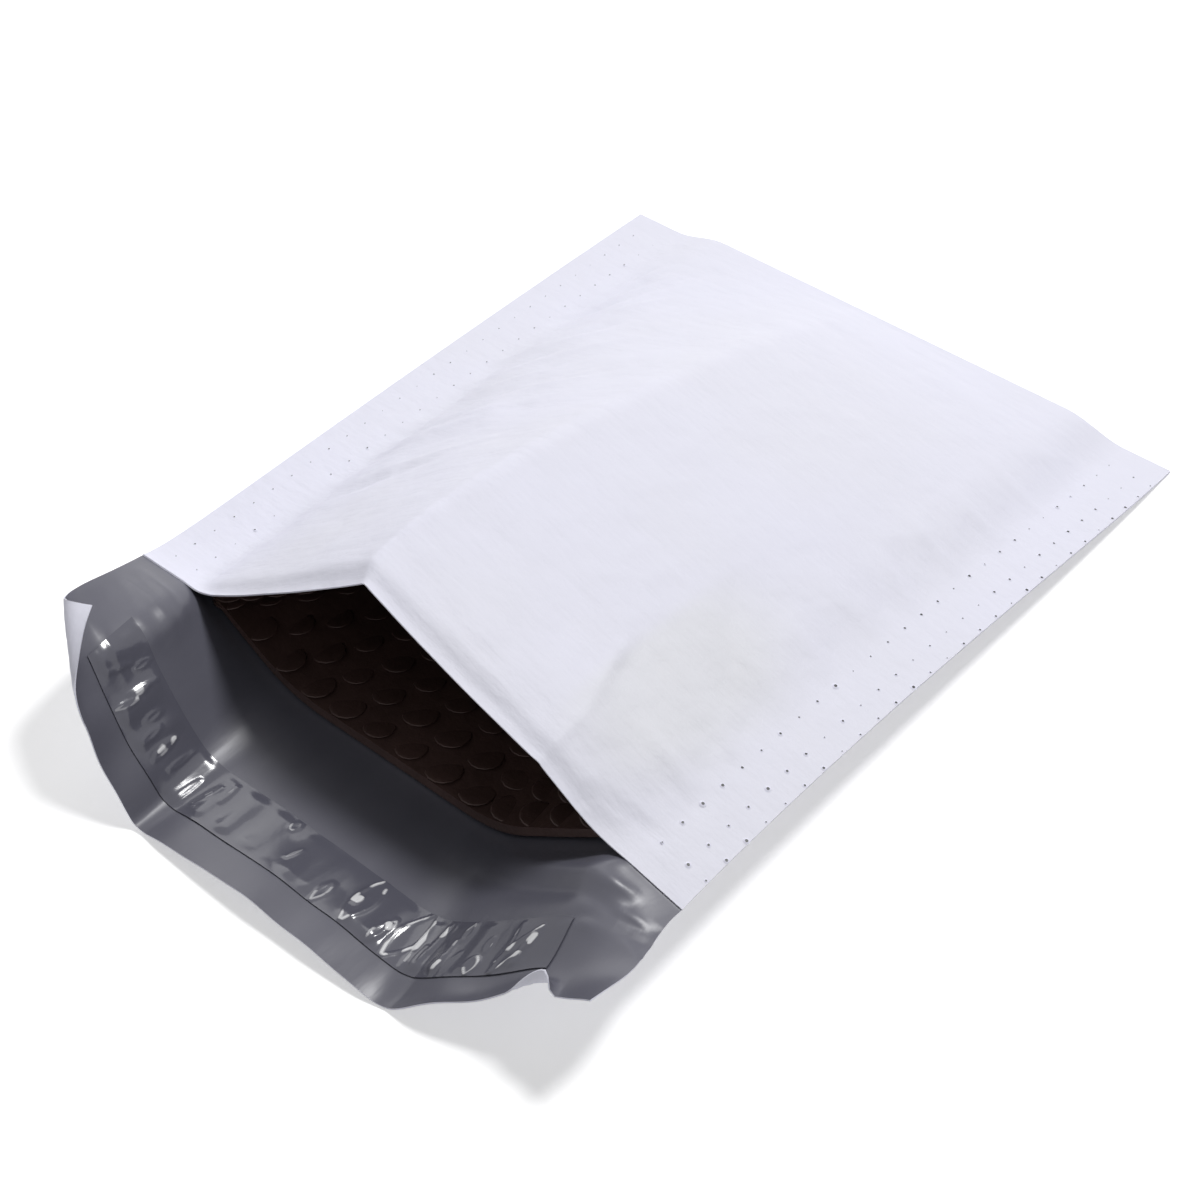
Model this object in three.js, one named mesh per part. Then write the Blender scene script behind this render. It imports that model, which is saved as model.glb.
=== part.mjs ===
// A white padded film mailer lying on its back wall, with its mouth open and its closing lip unfolded.
// X runs across the bag, Y from the lip to the bottom fold, Z up. All sizes are in millimetres.
import * as THREE from 'three';
import { mergeVertices } from 'three/addons/utils/BufferGeometryUtils.js';

// Flat sizes of the film
const BAG_WIDTH = 184;
const BAG_DEPTH = 212;
const LIP_LENGTH = 47;
const WELD_WIDTH = 14;
const FILM = 0.4;
const GAP = 0.3;

// Padded lining
const LINING = 2.8;
const LINING_SETBACK = 4;
const LINING_EDGE = 6;
const LINING_END_GAP = 5;
const CAVITY_EDGE = 8;
const CAVITY_END_GAP = 9;
const WALL_SHARE = 0.42;

// Glue band and its peel-off liner, measured along the lip from the mouth line
const STRIP_NEAR = 22;
const STRIP_FAR = 38;
const STRIP_LEFT = 78;
const STRIP_RIGHT = 74;
const GLUE = 0.3;
const GLUE_INSET = 2;
const GLUE_END_INSET = 4;
const LINER = 0.3;
const LINER_RIPPLE = 1.1;
const LINER_RIPPLE_PITCH = 7.5;
const LINER_RIPPLE_STEPS = 4;

// How far the mouth stands open: heights above the floor at the mouth line
const RIDGE_HEIGHT = 57;
const RIDGE_PLACE = -8;
const CREASE_HEIGHT = 41;
const CREASE_PLACE = 48;
const CREASE_JOG = 8;
const CREASE_JOG_START = 12;
const CREASE_JOG_END = 42;
const LEFT_EDGE_HEIGHT = 14.5;
const LEFT_EDGE_FLICK = 6.5;
const FLICK_REACH = 9;
const RIGHT_EDGE_HEIGHT = 23.7;
const RIGHT_WELD_SLOPE = 0.25;
const RIDGE_FALL = 1.75;
const LEFT_FALL = 1.2;
const RIGHT_FALL = 1.6;

// The lower wall lies flat between two soft bends that spread apart towards the bottom fold
const LEFT_BEND = 38;
const RIGHT_BEND = 28;
const BOTTOM_BEND = 62;
const BEND_SPREAD = 1.5;
const LIP_BEND = 38;
const BEND_ROUND = 10;
const LIP_BEND_ROUND = 3;
const WELD_ROUND = 4;
const RIDGE_ROUND = 3;
const CREASE_ROUND = 6;

// The lip flares up at its left end, arches in the middle and gathers at its right end
const LEFT_FLARE = 0.5;
const RIGHT_FLARE = 0.1;
const LIP_ARCH = 5;
const ARCH_HALF = 40;
const RIGHT_GATHER = 15;
const GATHER_START = 34;

// The lip's left corner is turned in along a line across the corner
const TURN_ALONG_SIDE = 9;
const TURN_ALONG_LIP = 26;
const TURN_ROUND = 2.2;
const TURN_ANGLE = 2.0;

// The padding thickens the bag towards the bottom fold, which draws the walls back from the corners
const PADDING = 2 * LINING;
const PADDING_RUN = 10;
const PADDING_RISE = 2;
const FOLD_DRAW = 40;

// Fineness of the tables and of the mesh
const TABLE_STEP = 1;
const STEEPEST_RISE = 0.9;
const LEVEL = 1e-9;
const MERGE_DISTANCE = 1e-3;
const COLUMN_STEP = 8;
const TURN_STEP = 3;
const LIP_STEP = 11;
const BAG_ROW_COUNT = 16;
const FOLD_STEPS = 4;

// Lines across the flat film, worked out from the sizes above
const HALF = BAG_WIDTH / 2;
const WELD_LINE = HALF - WELD_WIDTH;
const WELD_KNOT = WELD_LINE - WELD_ROUND;
const LINING_EDGE_LINE = WELD_LINE - LINING_EDGE;
const LINING_END = BAG_DEPTH - LINING_END_GAP;
const CAVITY_LINE = WELD_LINE - CAVITY_EDGE;
const CAVITY_END = BAG_DEPTH - CAVITY_END_GAP;
const GLUE_BOTTOM = FILM + GAP;
const LINER_BOTTOM = GLUE_BOTTOM + GLUE + GAP;

const clamp01 = (value) => Math.min(1, Math.max(0, value));
const smooth = (value) => clamp01(value) ** 2 * (3 - 2 * clamp01(value));
const mix = (from, to, share) => from + (to - from) * share;
const alongBag = (v) => clamp01(v / BAG_DEPTH);
const onLip = (v) => smooth(-v / LIP_LENGTH);

// A ramp that starts rising at zero, with its corner rounded over the given half length
function softRamp(distance, round) {
  if (distance <= -round) return 0;
  if (distance >= round) return distance;
  return (distance + round) ** 2 / (4 * round);
}

// Height at u of a line through [place, height, round] knots, with rounded corners
function bentLine(knots, u) {
  let height = knots[0][1];
  let lastSlope = 0;
  for (let k = 0; k + 1 < knots.length; k += 1) {
    const slope = (knots[k + 1][1] - knots[k][1]) / (knots[k + 1][0] - knots[k][0]);
    const offset = u - knots[k][0];
    height += (slope - lastSlope) * (k === 0 ? offset : softRamp(offset, knots[k][2]));
    lastSlope = slope;
  }
  return height;
}

// Heights of the outer edges of the two side welds, v being the distance from the mouth line
function leftEdge(v) {
  const rise = LEFT_EDGE_HEIGHT * (1 - alongBag(v) ** LEFT_FALL);
  const flick = LEFT_EDGE_FLICK * Math.exp(-Math.max(v, 0) / FLICK_REACH);
  return rise + flick + LEFT_FLARE * Math.max(-v, 0);
}

function rightEdge(v) {
  return RIGHT_EDGE_HEIGHT * (1 - alongBag(v) ** RIGHT_FALL) + RIGHT_FLARE * Math.max(-v, 0);
}

// Places of the two bends of the lower wall
const bendSpread = (v) => alongBag(v) ** BEND_SPREAD;
const leftBend = (v) => mix(LEFT_BEND, BOTTOM_BEND, bendSpread(v));
const rightBend = (v) => mix(mix(RIGHT_BEND, LIP_BEND, onLip(v)), BOTTOM_BEND, bendSpread(v));
const bendRound = (v) => mix(BEND_ROUND, LIP_BEND_ROUND, onLip(v));

// Heights of the welds' inner edges: on the lip, past the mouth, the film is straight from bend to edge
const straightShare = (bend) => (WELD_KNOT - bend) / (HALF - bend);

function leftWeld(v) {
  return leftEdge(v) * mix(1, straightShare(leftBend(v)), onLip(v));
}

function rightWeld(v) {
  const welded = rightEdge(v) + RIGHT_WELD_SLOPE * (HALF - WELD_KNOT) * (1 - alongBag(v));
  return mix(welded, rightEdge(v) * straightShare(rightBend(v)), onLip(v));
}

function lowerHeight(u, v) {
  const trough = bentLine([
    [-HALF, leftEdge(v)],
    [-WELD_KNOT, leftWeld(v), WELD_ROUND],
    [-leftBend(v), 0, bendRound(v)],
    [rightBend(v), 0, bendRound(v)],
    [WELD_KNOT, rightWeld(v), WELD_ROUND],
    [HALF, rightEdge(v)],
  ], u);
  const arch = LIP_ARCH * clamp01(-v / LIP_LENGTH) ** 2 * clamp01(1 - (u / ARCH_HALF) ** 2);
  const height = trough + arch;
  return Math.abs(height) < LEVEL ? 0 : height;
}

// The lesser crease steps sideways a little way in from the mouth
const creaseStep = (v) => smooth((v - CREASE_JOG_START) / (CREASE_JOG_END - CREASE_JOG_START));
const creasePlace = (v) => CREASE_PLACE - CREASE_JOG * creaseStep(v);

function upperHeight(u, v) {
  const fall = 1 - alongBag(v) ** RIDGE_FALL;
  const roof = bentLine([
    [-HALF, leftEdge(v)],
    [-WELD_KNOT, leftWeld(v), WELD_ROUND],
    [RIDGE_PLACE, RIDGE_HEIGHT * fall, RIDGE_ROUND],
    [creasePlace(v), CREASE_HEIGHT * fall, CREASE_ROUND],
    [WELD_KNOT, rightWeld(v), WELD_ROUND],
    [HALF, rightEdge(v)],
  ], u);
  const padded = PADDING * smooth((WELD_LINE - Math.abs(u)) / PADDING_RUN);
  return roof + padded * alongBag(v) ** PADDING_RISE;
}

// Tables of points, one for each millimetre of flat film: every step keeps the film's own length
const uSteps = BAG_WIDTH / TABLE_STEP;
const vSteps = (BAG_DEPTH + LIP_LENGTH) / TABLE_STEP;
const uAt = (i) => -HALF + i * TABLE_STEP;
const vAt = (j) => -LIP_LENGTH + j * TABLE_STEP;
const stepAcross = (rise) => Math.sqrt(Math.max(TABLE_STEP ** 2 - rise ** 2, 0));

function heightTable(heightAt) {
  return Array.from({ length: vSteps + 1 }, (_, j) =>
    Array.from({ length: uSteps + 1 }, (__, i) => heightAt(uAt(i), vAt(j))));
}

function walkAcross(heights) {
  const middle = uSteps / 2;
  const across = new Array(uSteps + 1).fill(0);
  for (let i = middle; i < uSteps; i += 1) {
    across[i + 1] = across[i] + stepAcross(heights[i + 1] - heights[i]);
  }
  for (let i = middle; i > 0; i -= 1) {
    across[i - 1] = across[i] - stepAcross(heights[i] - heights[i - 1]);
  }
  return across;
}

// Moves a row of the upper wall so that both of its ends lie on the lower wall's welds
function fitBetween(across, ends) {
  const last = across.length - 1;
  const startShift = ends[0] - across[0];
  const endShift = ends[last] - across[last];
  const shareAt = (i) => smooth((uAt(i) + WELD_LINE) / (2 * WELD_LINE));
  return across.map((x, i) => x + mix(startShift, endShift, shareAt(i)));
}

function pointTable(heights, rowsAcross) {
  const points = heights.map((heightRow, j) =>
    heightRow.map((z, i) => new THREE.Vector3(rowsAcross[j][i], BAG_DEPTH, z)));
  for (let j = vSteps - 1; j >= 0; j -= 1) {
    points[j].forEach((point, i) => {
      const next = points[j + 1][i];
      const rise = Math.hypot(next.z - point.z, next.x - point.x);
      point.y = next.y - stepAcross(Math.min(rise, STEEPEST_RISE * TABLE_STEP));
    });
  }
  return points;
}

// The right end of the lip is drawn back by the crumple beside the weld
function gatherLip(points) {
  points.forEach((row, j) => row.forEach((point, i) => {
    const share = smooth((uAt(i) - GATHER_START) / (HALF - GATHER_START));
    point.y += RIGHT_GATHER * share * clamp01(-vAt(j) / LIP_LENGTH);
  }));
  return points;
}

// The padded bottom fold takes up film, so the walls draw back from the corners towards the mouth there
function drawBack(points, lowEnd, highEnd) {
  points.forEach((row, j) => row.forEach((point, i) => {
    const share = clamp01((vAt(j) - BAG_DEPTH + FOLD_DRAW) / FOLD_DRAW) ** 2;
    point.y -= 0.5 * (highEnd[i] - lowEnd[i]) * share;
  }));
  return points;
}

const lowerHeights = heightTable(lowerHeight);
const lowerAcross = lowerHeights.map(walkAcross);
const upperHeights = heightTable(upperHeight);
const upperAcross = upperHeights.map((row, j) => fitBetween(walkAcross(row), lowerAcross[j]));
const foldEnds = [lowerHeights[vSteps], upperHeights[vSteps]];
const lowerPoints = drawBack(gatherLip(pointTable(lowerHeights, lowerAcross)), ...foldEnds);
const upperPoints = drawBack(pointTable(upperHeights, upperAcross), ...foldEnds);

// The cell of a table that holds a place, and the place's share of the way through it
function tableCell(value, start, count) {
  const place = clamp01((value - start) / (count * TABLE_STEP)) * count;
  const cell = Math.min(count - 1, Math.floor(place));
  return [cell, place - cell];
}

function tablePoint(points, u, v) {
  const [i, shareU] = tableCell(u, -HALF, uSteps);
  const [j, shareV] = tableCell(v, -LIP_LENGTH, vSteps);
  const near = points[j][i].clone().lerp(points[j][i + 1], shareU);
  const far = points[j + 1][i].clone().lerp(points[j + 1][i + 1], shareU);
  return near.lerp(far, shareV);
}

// Unit vectors of a table at u, v: across the bag, along it, and square to both on the upper side
function tableAxes(points, u, v) {
  const across = tablePoint(points, u + TABLE_STEP, v).sub(tablePoint(points, u - TABLE_STEP, v));
  const along = tablePoint(points, u, v + TABLE_STEP).sub(tablePoint(points, u, v - TABLE_STEP));
  const normal = across.clone().cross(along).normalize();
  return { across: across.normalize(), along: along.normalize(), normal };
}

const lifted = (points, u, v, height) =>
  tablePoint(points, u, v).addScaledVector(tableAxes(points, u, v).normal, height);

// Lip points past the turn line roll over inwards about it
const turnLength = Math.hypot(TURN_ALONG_SIDE, TURN_ALONG_LIP);
const turnAway = { u: -TURN_ALONG_SIDE / turnLength, v: -TURN_ALONG_LIP / turnLength };

function turnDistance(u, v) {
  const fromStart = { u: u + HALF, v: v + LIP_LENGTH - TURN_ALONG_SIDE };
  return fromStart.u * turnAway.u + fromStart.v * turnAway.v;
}

function lowerWall(u, v, height) {
  const past = turnDistance(u, v);
  if (past <= 0) return lifted(lowerPoints, u, v, height);
  const footU = u - past * turnAway.u;
  const footV = v - past * turnAway.v;
  const { across, along, normal } = tableAxes(lowerPoints, footU, footV);
  const outward = across.multiplyScalar(turnAway.u).addScaledVector(along, turnAway.v).normalize();
  const angle = Math.min(past / TURN_ROUND, TURN_ANGLE);
  const straight = past - angle * TURN_ROUND;
  const reach = (TURN_ROUND - height) * Math.sin(angle) + straight * Math.cos(angle);
  const climb = TURN_ROUND - (TURN_ROUND - height) * Math.cos(angle) + straight * Math.sin(angle);
  const foot = tablePoint(lowerPoints, footU, footV);
  return foot.addScaledVector(outward, reach).addScaledVector(normal, climb);
}

const underside = (u, v) => lowerWall(u, v, 0);
const lowerInside = (u, v) => lowerWall(u, v, FILM);
const upperInside = (u, v) =>
  (Math.abs(u) >= WELD_LINE ? lowerInside(u, v) : lifted(upperPoints, u, v, FILM));
const topside = (u, v) => lifted(upperPoints, u, v, 2 * FILM);

// Places in order, with each stretch between neighbours split evenly into steps no longer than given
function splitEvenly(places, longest) {
  const line = [places[0]];
  for (let k = 0; k + 1 < places.length; k += 1) {
    const [start, end] = [places[k], places[k + 1]];
    const count = Math.ceil((end - start) / longest);
    for (let step = 1; step < count; step += 1) line.push(mix(start, end, step / count));
    line.push(end);
  }
  return line;
}

// Grid places across the film, on every fold line
const FULL_COLUMNS = splitEvenly([
  -HALF, -WELD_LINE, -WELD_KNOT, -CAVITY_LINE,
  -LEFT_BEND - LIP_BEND_ROUND, -LEFT_BEND, -LEFT_BEND + LIP_BEND_ROUND,
  RIDGE_PLACE - RIDGE_ROUND, RIDGE_PLACE, RIDGE_PLACE + RIDGE_ROUND,
  RIGHT_BEND, LIP_BEND - LIP_BEND_ROUND, LIP_BEND, LIP_BEND + LIP_BEND_ROUND, CREASE_PLACE,
  CAVITY_LINE, WELD_KNOT, WELD_LINE, HALF,
], COLUMN_STEP);
const INNER_COLUMNS = FULL_COLUMNS.filter((u) => Math.abs(u) <= WELD_LINE);

// Grid places along it: on the glue band's lines over the lip, and closer together towards the bag's ends
const LIP_ROWS = [
  ...splitEvenly([-LIP_LENGTH, -STRIP_FAR], TURN_STEP),
  ...splitEvenly([GLUE_INSET - STRIP_FAR, -STRIP_NEAR - GLUE_INSET, -STRIP_NEAR, 0], LIP_STEP),
];
const endwise = (share) => (1 - Math.cos(Math.PI * share)) / 2;
const bagRow = (_, k) => mix(LINING_SETBACK, BAG_DEPTH, endwise(k / BAG_ROW_COUNT));
const BAG_ROWS = [0, ...Array.from({ length: BAG_ROW_COUNT + 1 }, bagRow)];

// A closed mesh is gathered from patches whose shared edges hold the same points
class Skin {
  constructor() {
    this.positions = [];
  }

  triangle(a, b, c) {
    this.positions.push(...a.toArray(), ...b.toArray(), ...c.toArray());
  }

  quad(a, b, c, d) {
    this.triangle(a, b, c);
    this.triangle(a, c, d);
  }

  // The strip between two lines of points, facing the side where the first runs right, below the second
  strip(first, second) {
    for (let i = 0; i + 1 < first.length; i += 1) {
      this.quad(first[i], first[i + 1], second[i + 1], second[i]);
    }
  }

  // Rows of points as a surface that faces up, or one that faces down, split along the same diagonals
  patch(rows) {
    for (let j = 0; j + 1 < rows.length; j += 1) this.strip(rows[j], rows[j + 1]);
  }

  patchBelow(rows) {
    for (let j = 0; j + 1 < rows.length; j += 1) {
      for (let i = 0; i + 1 < rows[j].length; i += 1) {
        this.quad(rows[j][i], rows[j + 1][i], rows[j + 1][i + 1], rows[j][i + 1]);
      }
    }
  }

  fan(centre, rim) {
    for (let i = 0; i + 1 < rim.length; i += 1) this.triangle(centre, rim[i], rim[i + 1]);
  }

  geometry() {
    const loose = new THREE.BufferGeometry();
    loose.setAttribute('position', new THREE.Float32BufferAttribute(this.positions, 3));
    const merged = mergeVertices(loose, MERGE_DISTANCE);
    merged.setIndex(realFaces(merged.getIndex().array));
    merged.computeVertexNormals();
    return merged;
  }
}

// Leaves out faces shrunk to a line, and pairs of faces that lie back to back
function realFaces(index) {
  const faces = new Map();
  for (let i = 0; i < index.length; i += 3) {
    const face = [index[i], index[i + 1], index[i + 2]];
    const key = [...face].sort((a, b) => a - b).join(' ');
    if (new Set(face).size < 3) continue;
    if (faces.has(key)) faces.delete(key);
    else faces.set(key, face);
  }
  return [...faces.values()].flat();
}

const row = (columns, v, pointAt) => columns.map((u) => pointAt(u, v));
const grid = (columns, rows, pointAt) => rows.map((v) => row(columns, v, pointAt));

// Half-round lines between the end of the lower wall and the end of the upper wall
function foldLines(columns, low, high) {
  const lines = [];
  for (let step = 0; step <= FOLD_STEPS; step += 1) {
    const angle = (Math.PI * step) / FOLD_STEPS;
    lines.push(columns.map((u, i) => {
      const middle = low[i].clone().add(high[i]).multiplyScalar(0.5);
      const half = high[i].clone().sub(low[i]).multiplyScalar(0.5);
      const point = middle.addScaledVector(half, -Math.cos(angle));
      point.y += half.length() * Math.sin(angle);
      return point;
    }));
  }
  return lines;
}

function outerFilm() {
  const skin = new Skin();
  const allRows = [...LIP_ROWS, ...BAG_ROWS.slice(1)];
  const under = grid(FULL_COLUMNS, allRows, underside);
  const top = grid(FULL_COLUMNS, BAG_ROWS, topside);
  const lip = grid(FULL_COLUMNS, LIP_ROWS, lowerInside);
  const floor = grid(INNER_COLUMNS, BAG_ROWS, lowerInside);
  const roof = grid(INNER_COLUMNS, BAG_ROWS, upperInside);
  skin.patchBelow(under);
  skin.patch(top);
  skin.patch(lip);
  skin.patch(floor);
  skin.patchBelow(roof);
  const outerFold = foldLines(FULL_COLUMNS, under.at(-1), top.at(-1));
  const innerFold = foldLines(INNER_COLUMNS, floor.at(-1), roof.at(-1));
  skin.patchBelow(outerFold);
  skin.patch(innerFold);
  skin.strip(row(FULL_COLUMNS, -LIP_LENGTH, underside), row(FULL_COLUMNS, -LIP_LENGTH, lowerInside));
  skin.strip(row(FULL_COLUMNS, 0, upperInside), row(FULL_COLUMNS, 0, topside));
  for (const [u, side] of [[-HALF, 'left'], [HALF, 'right']]) {
    const lines = [
      allRows.map((v) => underside(u, v)),
      allRows.map((v) => lowerInside(u, v)),
      BAG_ROWS.map((v) => lowerInside(u, v)),
      BAG_ROWS.map((v) => topside(u, v)),
    ];
    const end = outerFold.map((line) => (side === 'left' ? line[0] : line.at(-1)));
    const centre = lowerInside(u, BAG_DEPTH);
    if (side === 'right') {
      skin.strip(lines[0], lines[1]);
      skin.strip(lines[2], lines[3]);
      skin.fan(centre, end);
    } else {
      skin.strip(lines[1], lines[0]);
      skin.strip(lines[3], lines[2]);
      skin.fan(centre, [...end].reverse());
    }
  }
  return skin.geometry();
}

// The lining fills the space beside the film and leaves a cavity between its two padded walls
const liningFloor = (u, v) => lifted(lowerPoints, u, v, FILM + GAP);
const liningRoof = (u, v) => lifted(upperPoints, u, v, FILM - GAP);
const liningMiddle = (u, v) => liningFloor(u, v).lerp(liningRoof(u, v), 0.5);
const isCavityRim = (u, v) => Math.abs(u) >= CAVITY_LINE || v >= CAVITY_END;

function cavityWall(u, v, from, towards) {
  if (isCavityRim(u, v)) return liningMiddle(u, v);
  const start = from(u, v);
  const across = towards(u, v).sub(start);
  const wall = Math.min(LINING / across.length(), WALL_SHARE);
  return start.addScaledVector(across, wall);
}

const cavityFloor = (u, v) => cavityWall(u, v, liningFloor, liningRoof);
const cavityRoof = (u, v) => cavityWall(u, v, liningRoof, liningFloor);

function bubbleLining() {
  const skin = new Skin();
  const innerColumns = FULL_COLUMNS.filter((u) => Math.abs(u) <= CAVITY_LINE);
  const columns = [-LINING_EDGE_LINE, ...innerColumns, LINING_EDGE_LINE];
  const rows = [...BAG_ROWS.filter((v) => v >= LINING_SETBACK && v < CAVITY_END), CAVITY_END, LINING_END];
  const innerRows = rows.slice(0, -1);
  const outerLow = grid(columns, rows, liningFloor);
  const outerHigh = grid(columns, rows, liningRoof);
  skin.patchBelow(outerLow);
  skin.patch(outerHigh);
  skin.patch(grid(innerColumns, innerRows, cavityFloor));
  skin.patchBelow(grid(innerColumns, innerRows, cavityRoof));
  skin.strip([...outerLow.at(-1)].reverse(), [...outerHigh.at(-1)].reverse());
  skin.strip(outerLow.map((line) => line.at(-1)), outerHigh.map((line) => line.at(-1)));
  skin.strip(outerHigh.map((line) => line[0]), outerLow.map((line) => line[0]));
  const low = outerLow[0];
  const high = outerHigh[0];
  skin.strip(low.slice(1, -1), row(innerColumns, rows[0], cavityFloor));
  skin.strip(row(innerColumns, rows[0], cavityRoof), high.slice(1, -1));
  skin.fan(liningMiddle(-CAVITY_LINE, rows[0]), [high[1], high[0], low[0], low[1]]);
  skin.fan(liningMiddle(CAVITY_LINE, rows[0]), [low.at(-2), low.at(-1), high.at(-1), high.at(-2)]);
  return skin.geometry();
}

// A point at the given height over the lip, on the flat facet of the film that lies under it
function overLip(u, v, height) {
  const i = Math.max(0, FULL_COLUMNS.findLastIndex((column) => column <= u));
  const j = Math.max(0, LIP_ROWS.findLastIndex((line) => line <= v));
  const shareU = (u - FULL_COLUMNS[i]) / (FULL_COLUMNS[i + 1] - FULL_COLUMNS[i]);
  const shareV = (v - LIP_ROWS[j]) / (LIP_ROWS[j + 1] - LIP_ROWS[j]);
  const corner = (k, m) => lowerWall(FULL_COLUMNS[i + k], LIP_ROWS[j + m], height);
  const near = corner(0, 0).lerp(corner(1, 0), shareU);
  const far = corner(0, 1).lerp(corner(1, 1), shareU);
  return near.lerp(far, shareV);
}

// A band on the lip's inner face between two heights, each a function of the place across
function lipBand(columns, near, far, bottomAt, topAt) {
  const skin = new Skin();
  const rows = [-far, ...LIP_ROWS.filter((v) => v > -far && v < -near), -near];
  const bottom = grid(columns, rows, (u, v) => overLip(u, v, bottomAt(u)));
  const top = grid(columns, rows, (u, v) => overLip(u, v, topAt(u)));
  skin.patchBelow(bottom);
  skin.patch(top);
  skin.strip(bottom[0], top[0]);
  skin.strip([...bottom.at(-1)].reverse(), [...top.at(-1)].reverse());
  skin.strip(bottom.map((line) => line.at(-1)), top.map((line) => line.at(-1)));
  skin.strip(top.map((line) => line[0]), bottom.map((line) => line[0]));
  return skin.geometry();
}

const linerWave = (u) => LINER_RIPPLE * Math.sin((Math.PI * u) / LINER_RIPPLE_PITCH) ** 2;

function adhesiveBand() {
  const left = -STRIP_LEFT + GLUE_END_INSET;
  const right = STRIP_RIGHT - GLUE_END_INSET;
  const columns = [left, ...FULL_COLUMNS.filter((u) => u > left && u < right), right];
  return lipBand(columns, STRIP_NEAR + GLUE_INSET, STRIP_FAR - GLUE_INSET,
    () => GLUE_BOTTOM, () => GLUE_BOTTOM + GLUE);
}

function releaseLiner() {
  const count = Math.round((STRIP_LEFT + STRIP_RIGHT) / LINER_RIPPLE_PITCH) * LINER_RIPPLE_STEPS;
  const columnAt = (_, i) => mix(-STRIP_LEFT, STRIP_RIGHT, i / count);
  const columns = Array.from({ length: count + 1 }, columnAt);
  return lipBand(columns, STRIP_NEAR, STRIP_FAR,
    (u) => LINER_BOTTOM + linerWave(u), (u) => LINER_BOTTOM + LINER + linerWave(u));
}

const looks = {
  outer_film: { color: 0xe4e5ec, roughness: 0.45, metalness: 0 },
  bubble_lining: { color: 0x3a3836, roughness: 0.35, metalness: 0 },
  adhesive_band: { color: 0x6c6d78, roughness: 0.3, metalness: 0 },
  release_liner: { color: 0xb9bcc4, roughness: 0.12, metalness: 0 },
};

const solids = {
  outer_film: outerFilm(),
  bubble_lining: bubbleLining(),
  adhesive_band: adhesiveBand(),
  release_liner: releaseLiner(),
};

// The origin sits under the middle of the whole outline
const mailer = new THREE.Group();
for (const [name, geometry] of Object.entries(solids)) {
  const mesh = new THREE.Mesh(geometry, new THREE.MeshStandardMaterial(looks[name]));
  mesh.name = name;
  mailer.add(mesh);
}
const outline = new THREE.Box3().setFromObject(mailer);
const middle = outline.getCenter(new THREE.Vector3());
mailer.children.forEach((mesh) => mesh.position.set(-middle.x, -middle.y, -outline.min.z));

export default mailer;
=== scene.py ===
"""Dresses a padded film mailer that lies open, with its lining, glue, release strip and weld pricks.

The film is one sheet, followed by its flat places: across from the bag's middle line, and along from the
mouth line, past the bottom fold on one side and out to the lip's free edge on the other.
"""

import math

import bpy
import numpy as np
from bpy.props import FloatProperty, FloatVectorProperty, IntProperty, PointerProperty
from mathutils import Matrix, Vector


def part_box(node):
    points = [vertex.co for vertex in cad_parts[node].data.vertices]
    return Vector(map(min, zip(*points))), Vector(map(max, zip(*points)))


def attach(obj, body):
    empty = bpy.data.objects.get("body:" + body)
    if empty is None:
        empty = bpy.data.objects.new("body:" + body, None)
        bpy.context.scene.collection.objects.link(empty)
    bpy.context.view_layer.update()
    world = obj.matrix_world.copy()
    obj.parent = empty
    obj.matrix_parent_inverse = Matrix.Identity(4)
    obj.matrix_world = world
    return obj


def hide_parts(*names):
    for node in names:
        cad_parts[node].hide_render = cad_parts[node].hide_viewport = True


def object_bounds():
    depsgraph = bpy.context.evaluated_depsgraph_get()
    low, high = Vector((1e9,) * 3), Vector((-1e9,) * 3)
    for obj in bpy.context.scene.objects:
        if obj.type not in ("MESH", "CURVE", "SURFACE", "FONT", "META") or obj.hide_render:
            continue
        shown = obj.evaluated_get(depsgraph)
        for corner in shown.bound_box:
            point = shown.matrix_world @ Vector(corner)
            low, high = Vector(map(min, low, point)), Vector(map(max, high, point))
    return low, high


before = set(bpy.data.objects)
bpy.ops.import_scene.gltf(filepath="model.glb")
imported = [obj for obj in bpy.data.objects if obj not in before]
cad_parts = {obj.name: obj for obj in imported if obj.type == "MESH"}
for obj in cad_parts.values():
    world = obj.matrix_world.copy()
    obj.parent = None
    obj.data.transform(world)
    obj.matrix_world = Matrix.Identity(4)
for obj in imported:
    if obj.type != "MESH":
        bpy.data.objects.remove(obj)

bl_info = {
    "name": "Padded film mailer",
    "version": (1, 0, 0),
    "blender": (4, 5, 0),
    "location": "3D View > Sidebar > Mailer",
    "description": "Builds an open padded film mailer piece by piece, with its stage",
    "category": "Mesh",
}

MM = 0.001
CAD_LOW, CAD_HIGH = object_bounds()
BODY = "root"

# How far the mouth stands open: heights above the floor at the mouth line
RIDGE_HEIGHT = 57 * MM
RIDGE_PLACE = -8 * MM
CREASE_HEIGHT = 41 * MM
CREASE_PLACE = 48 * MM
CREASE_JOG = 8 * MM
CREASE_JOG_START = 12 * MM
CREASE_JOG_END = 42 * MM
LEFT_EDGE_HEIGHT = 14.5 * MM
LEFT_EDGE_FLICK = 6.5 * MM
FLICK_REACH = 9 * MM
RIGHT_EDGE_HEIGHT = 23.7 * MM
RIGHT_WELD_SLOPE = 0.25
RIDGE_FALL = 1.75
LEFT_FALL = 1.2
RIGHT_FALL = 1.6

# The lower wall lies flat between two soft bends that spread apart towards the bottom fold
LEFT_BEND = 38 * MM
RIGHT_BEND = 28 * MM
BOTTOM_BEND = 62 * MM
BEND_SPREAD = 1.5
LIP_BEND = 38 * MM
BEND_ROUND = 10 * MM
LIP_BEND_ROUND = 3 * MM
WELD_ROUND = 4 * MM

# The upper wall's two folds are sharp at the mouth and soften away from it
RIDGE_ROUND = (1.2 * MM, 3 * MM)
CREASE_ROUND = (1.4 * MM, 4.5 * MM)
FOLD_SOFTENS = 70 * MM

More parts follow.
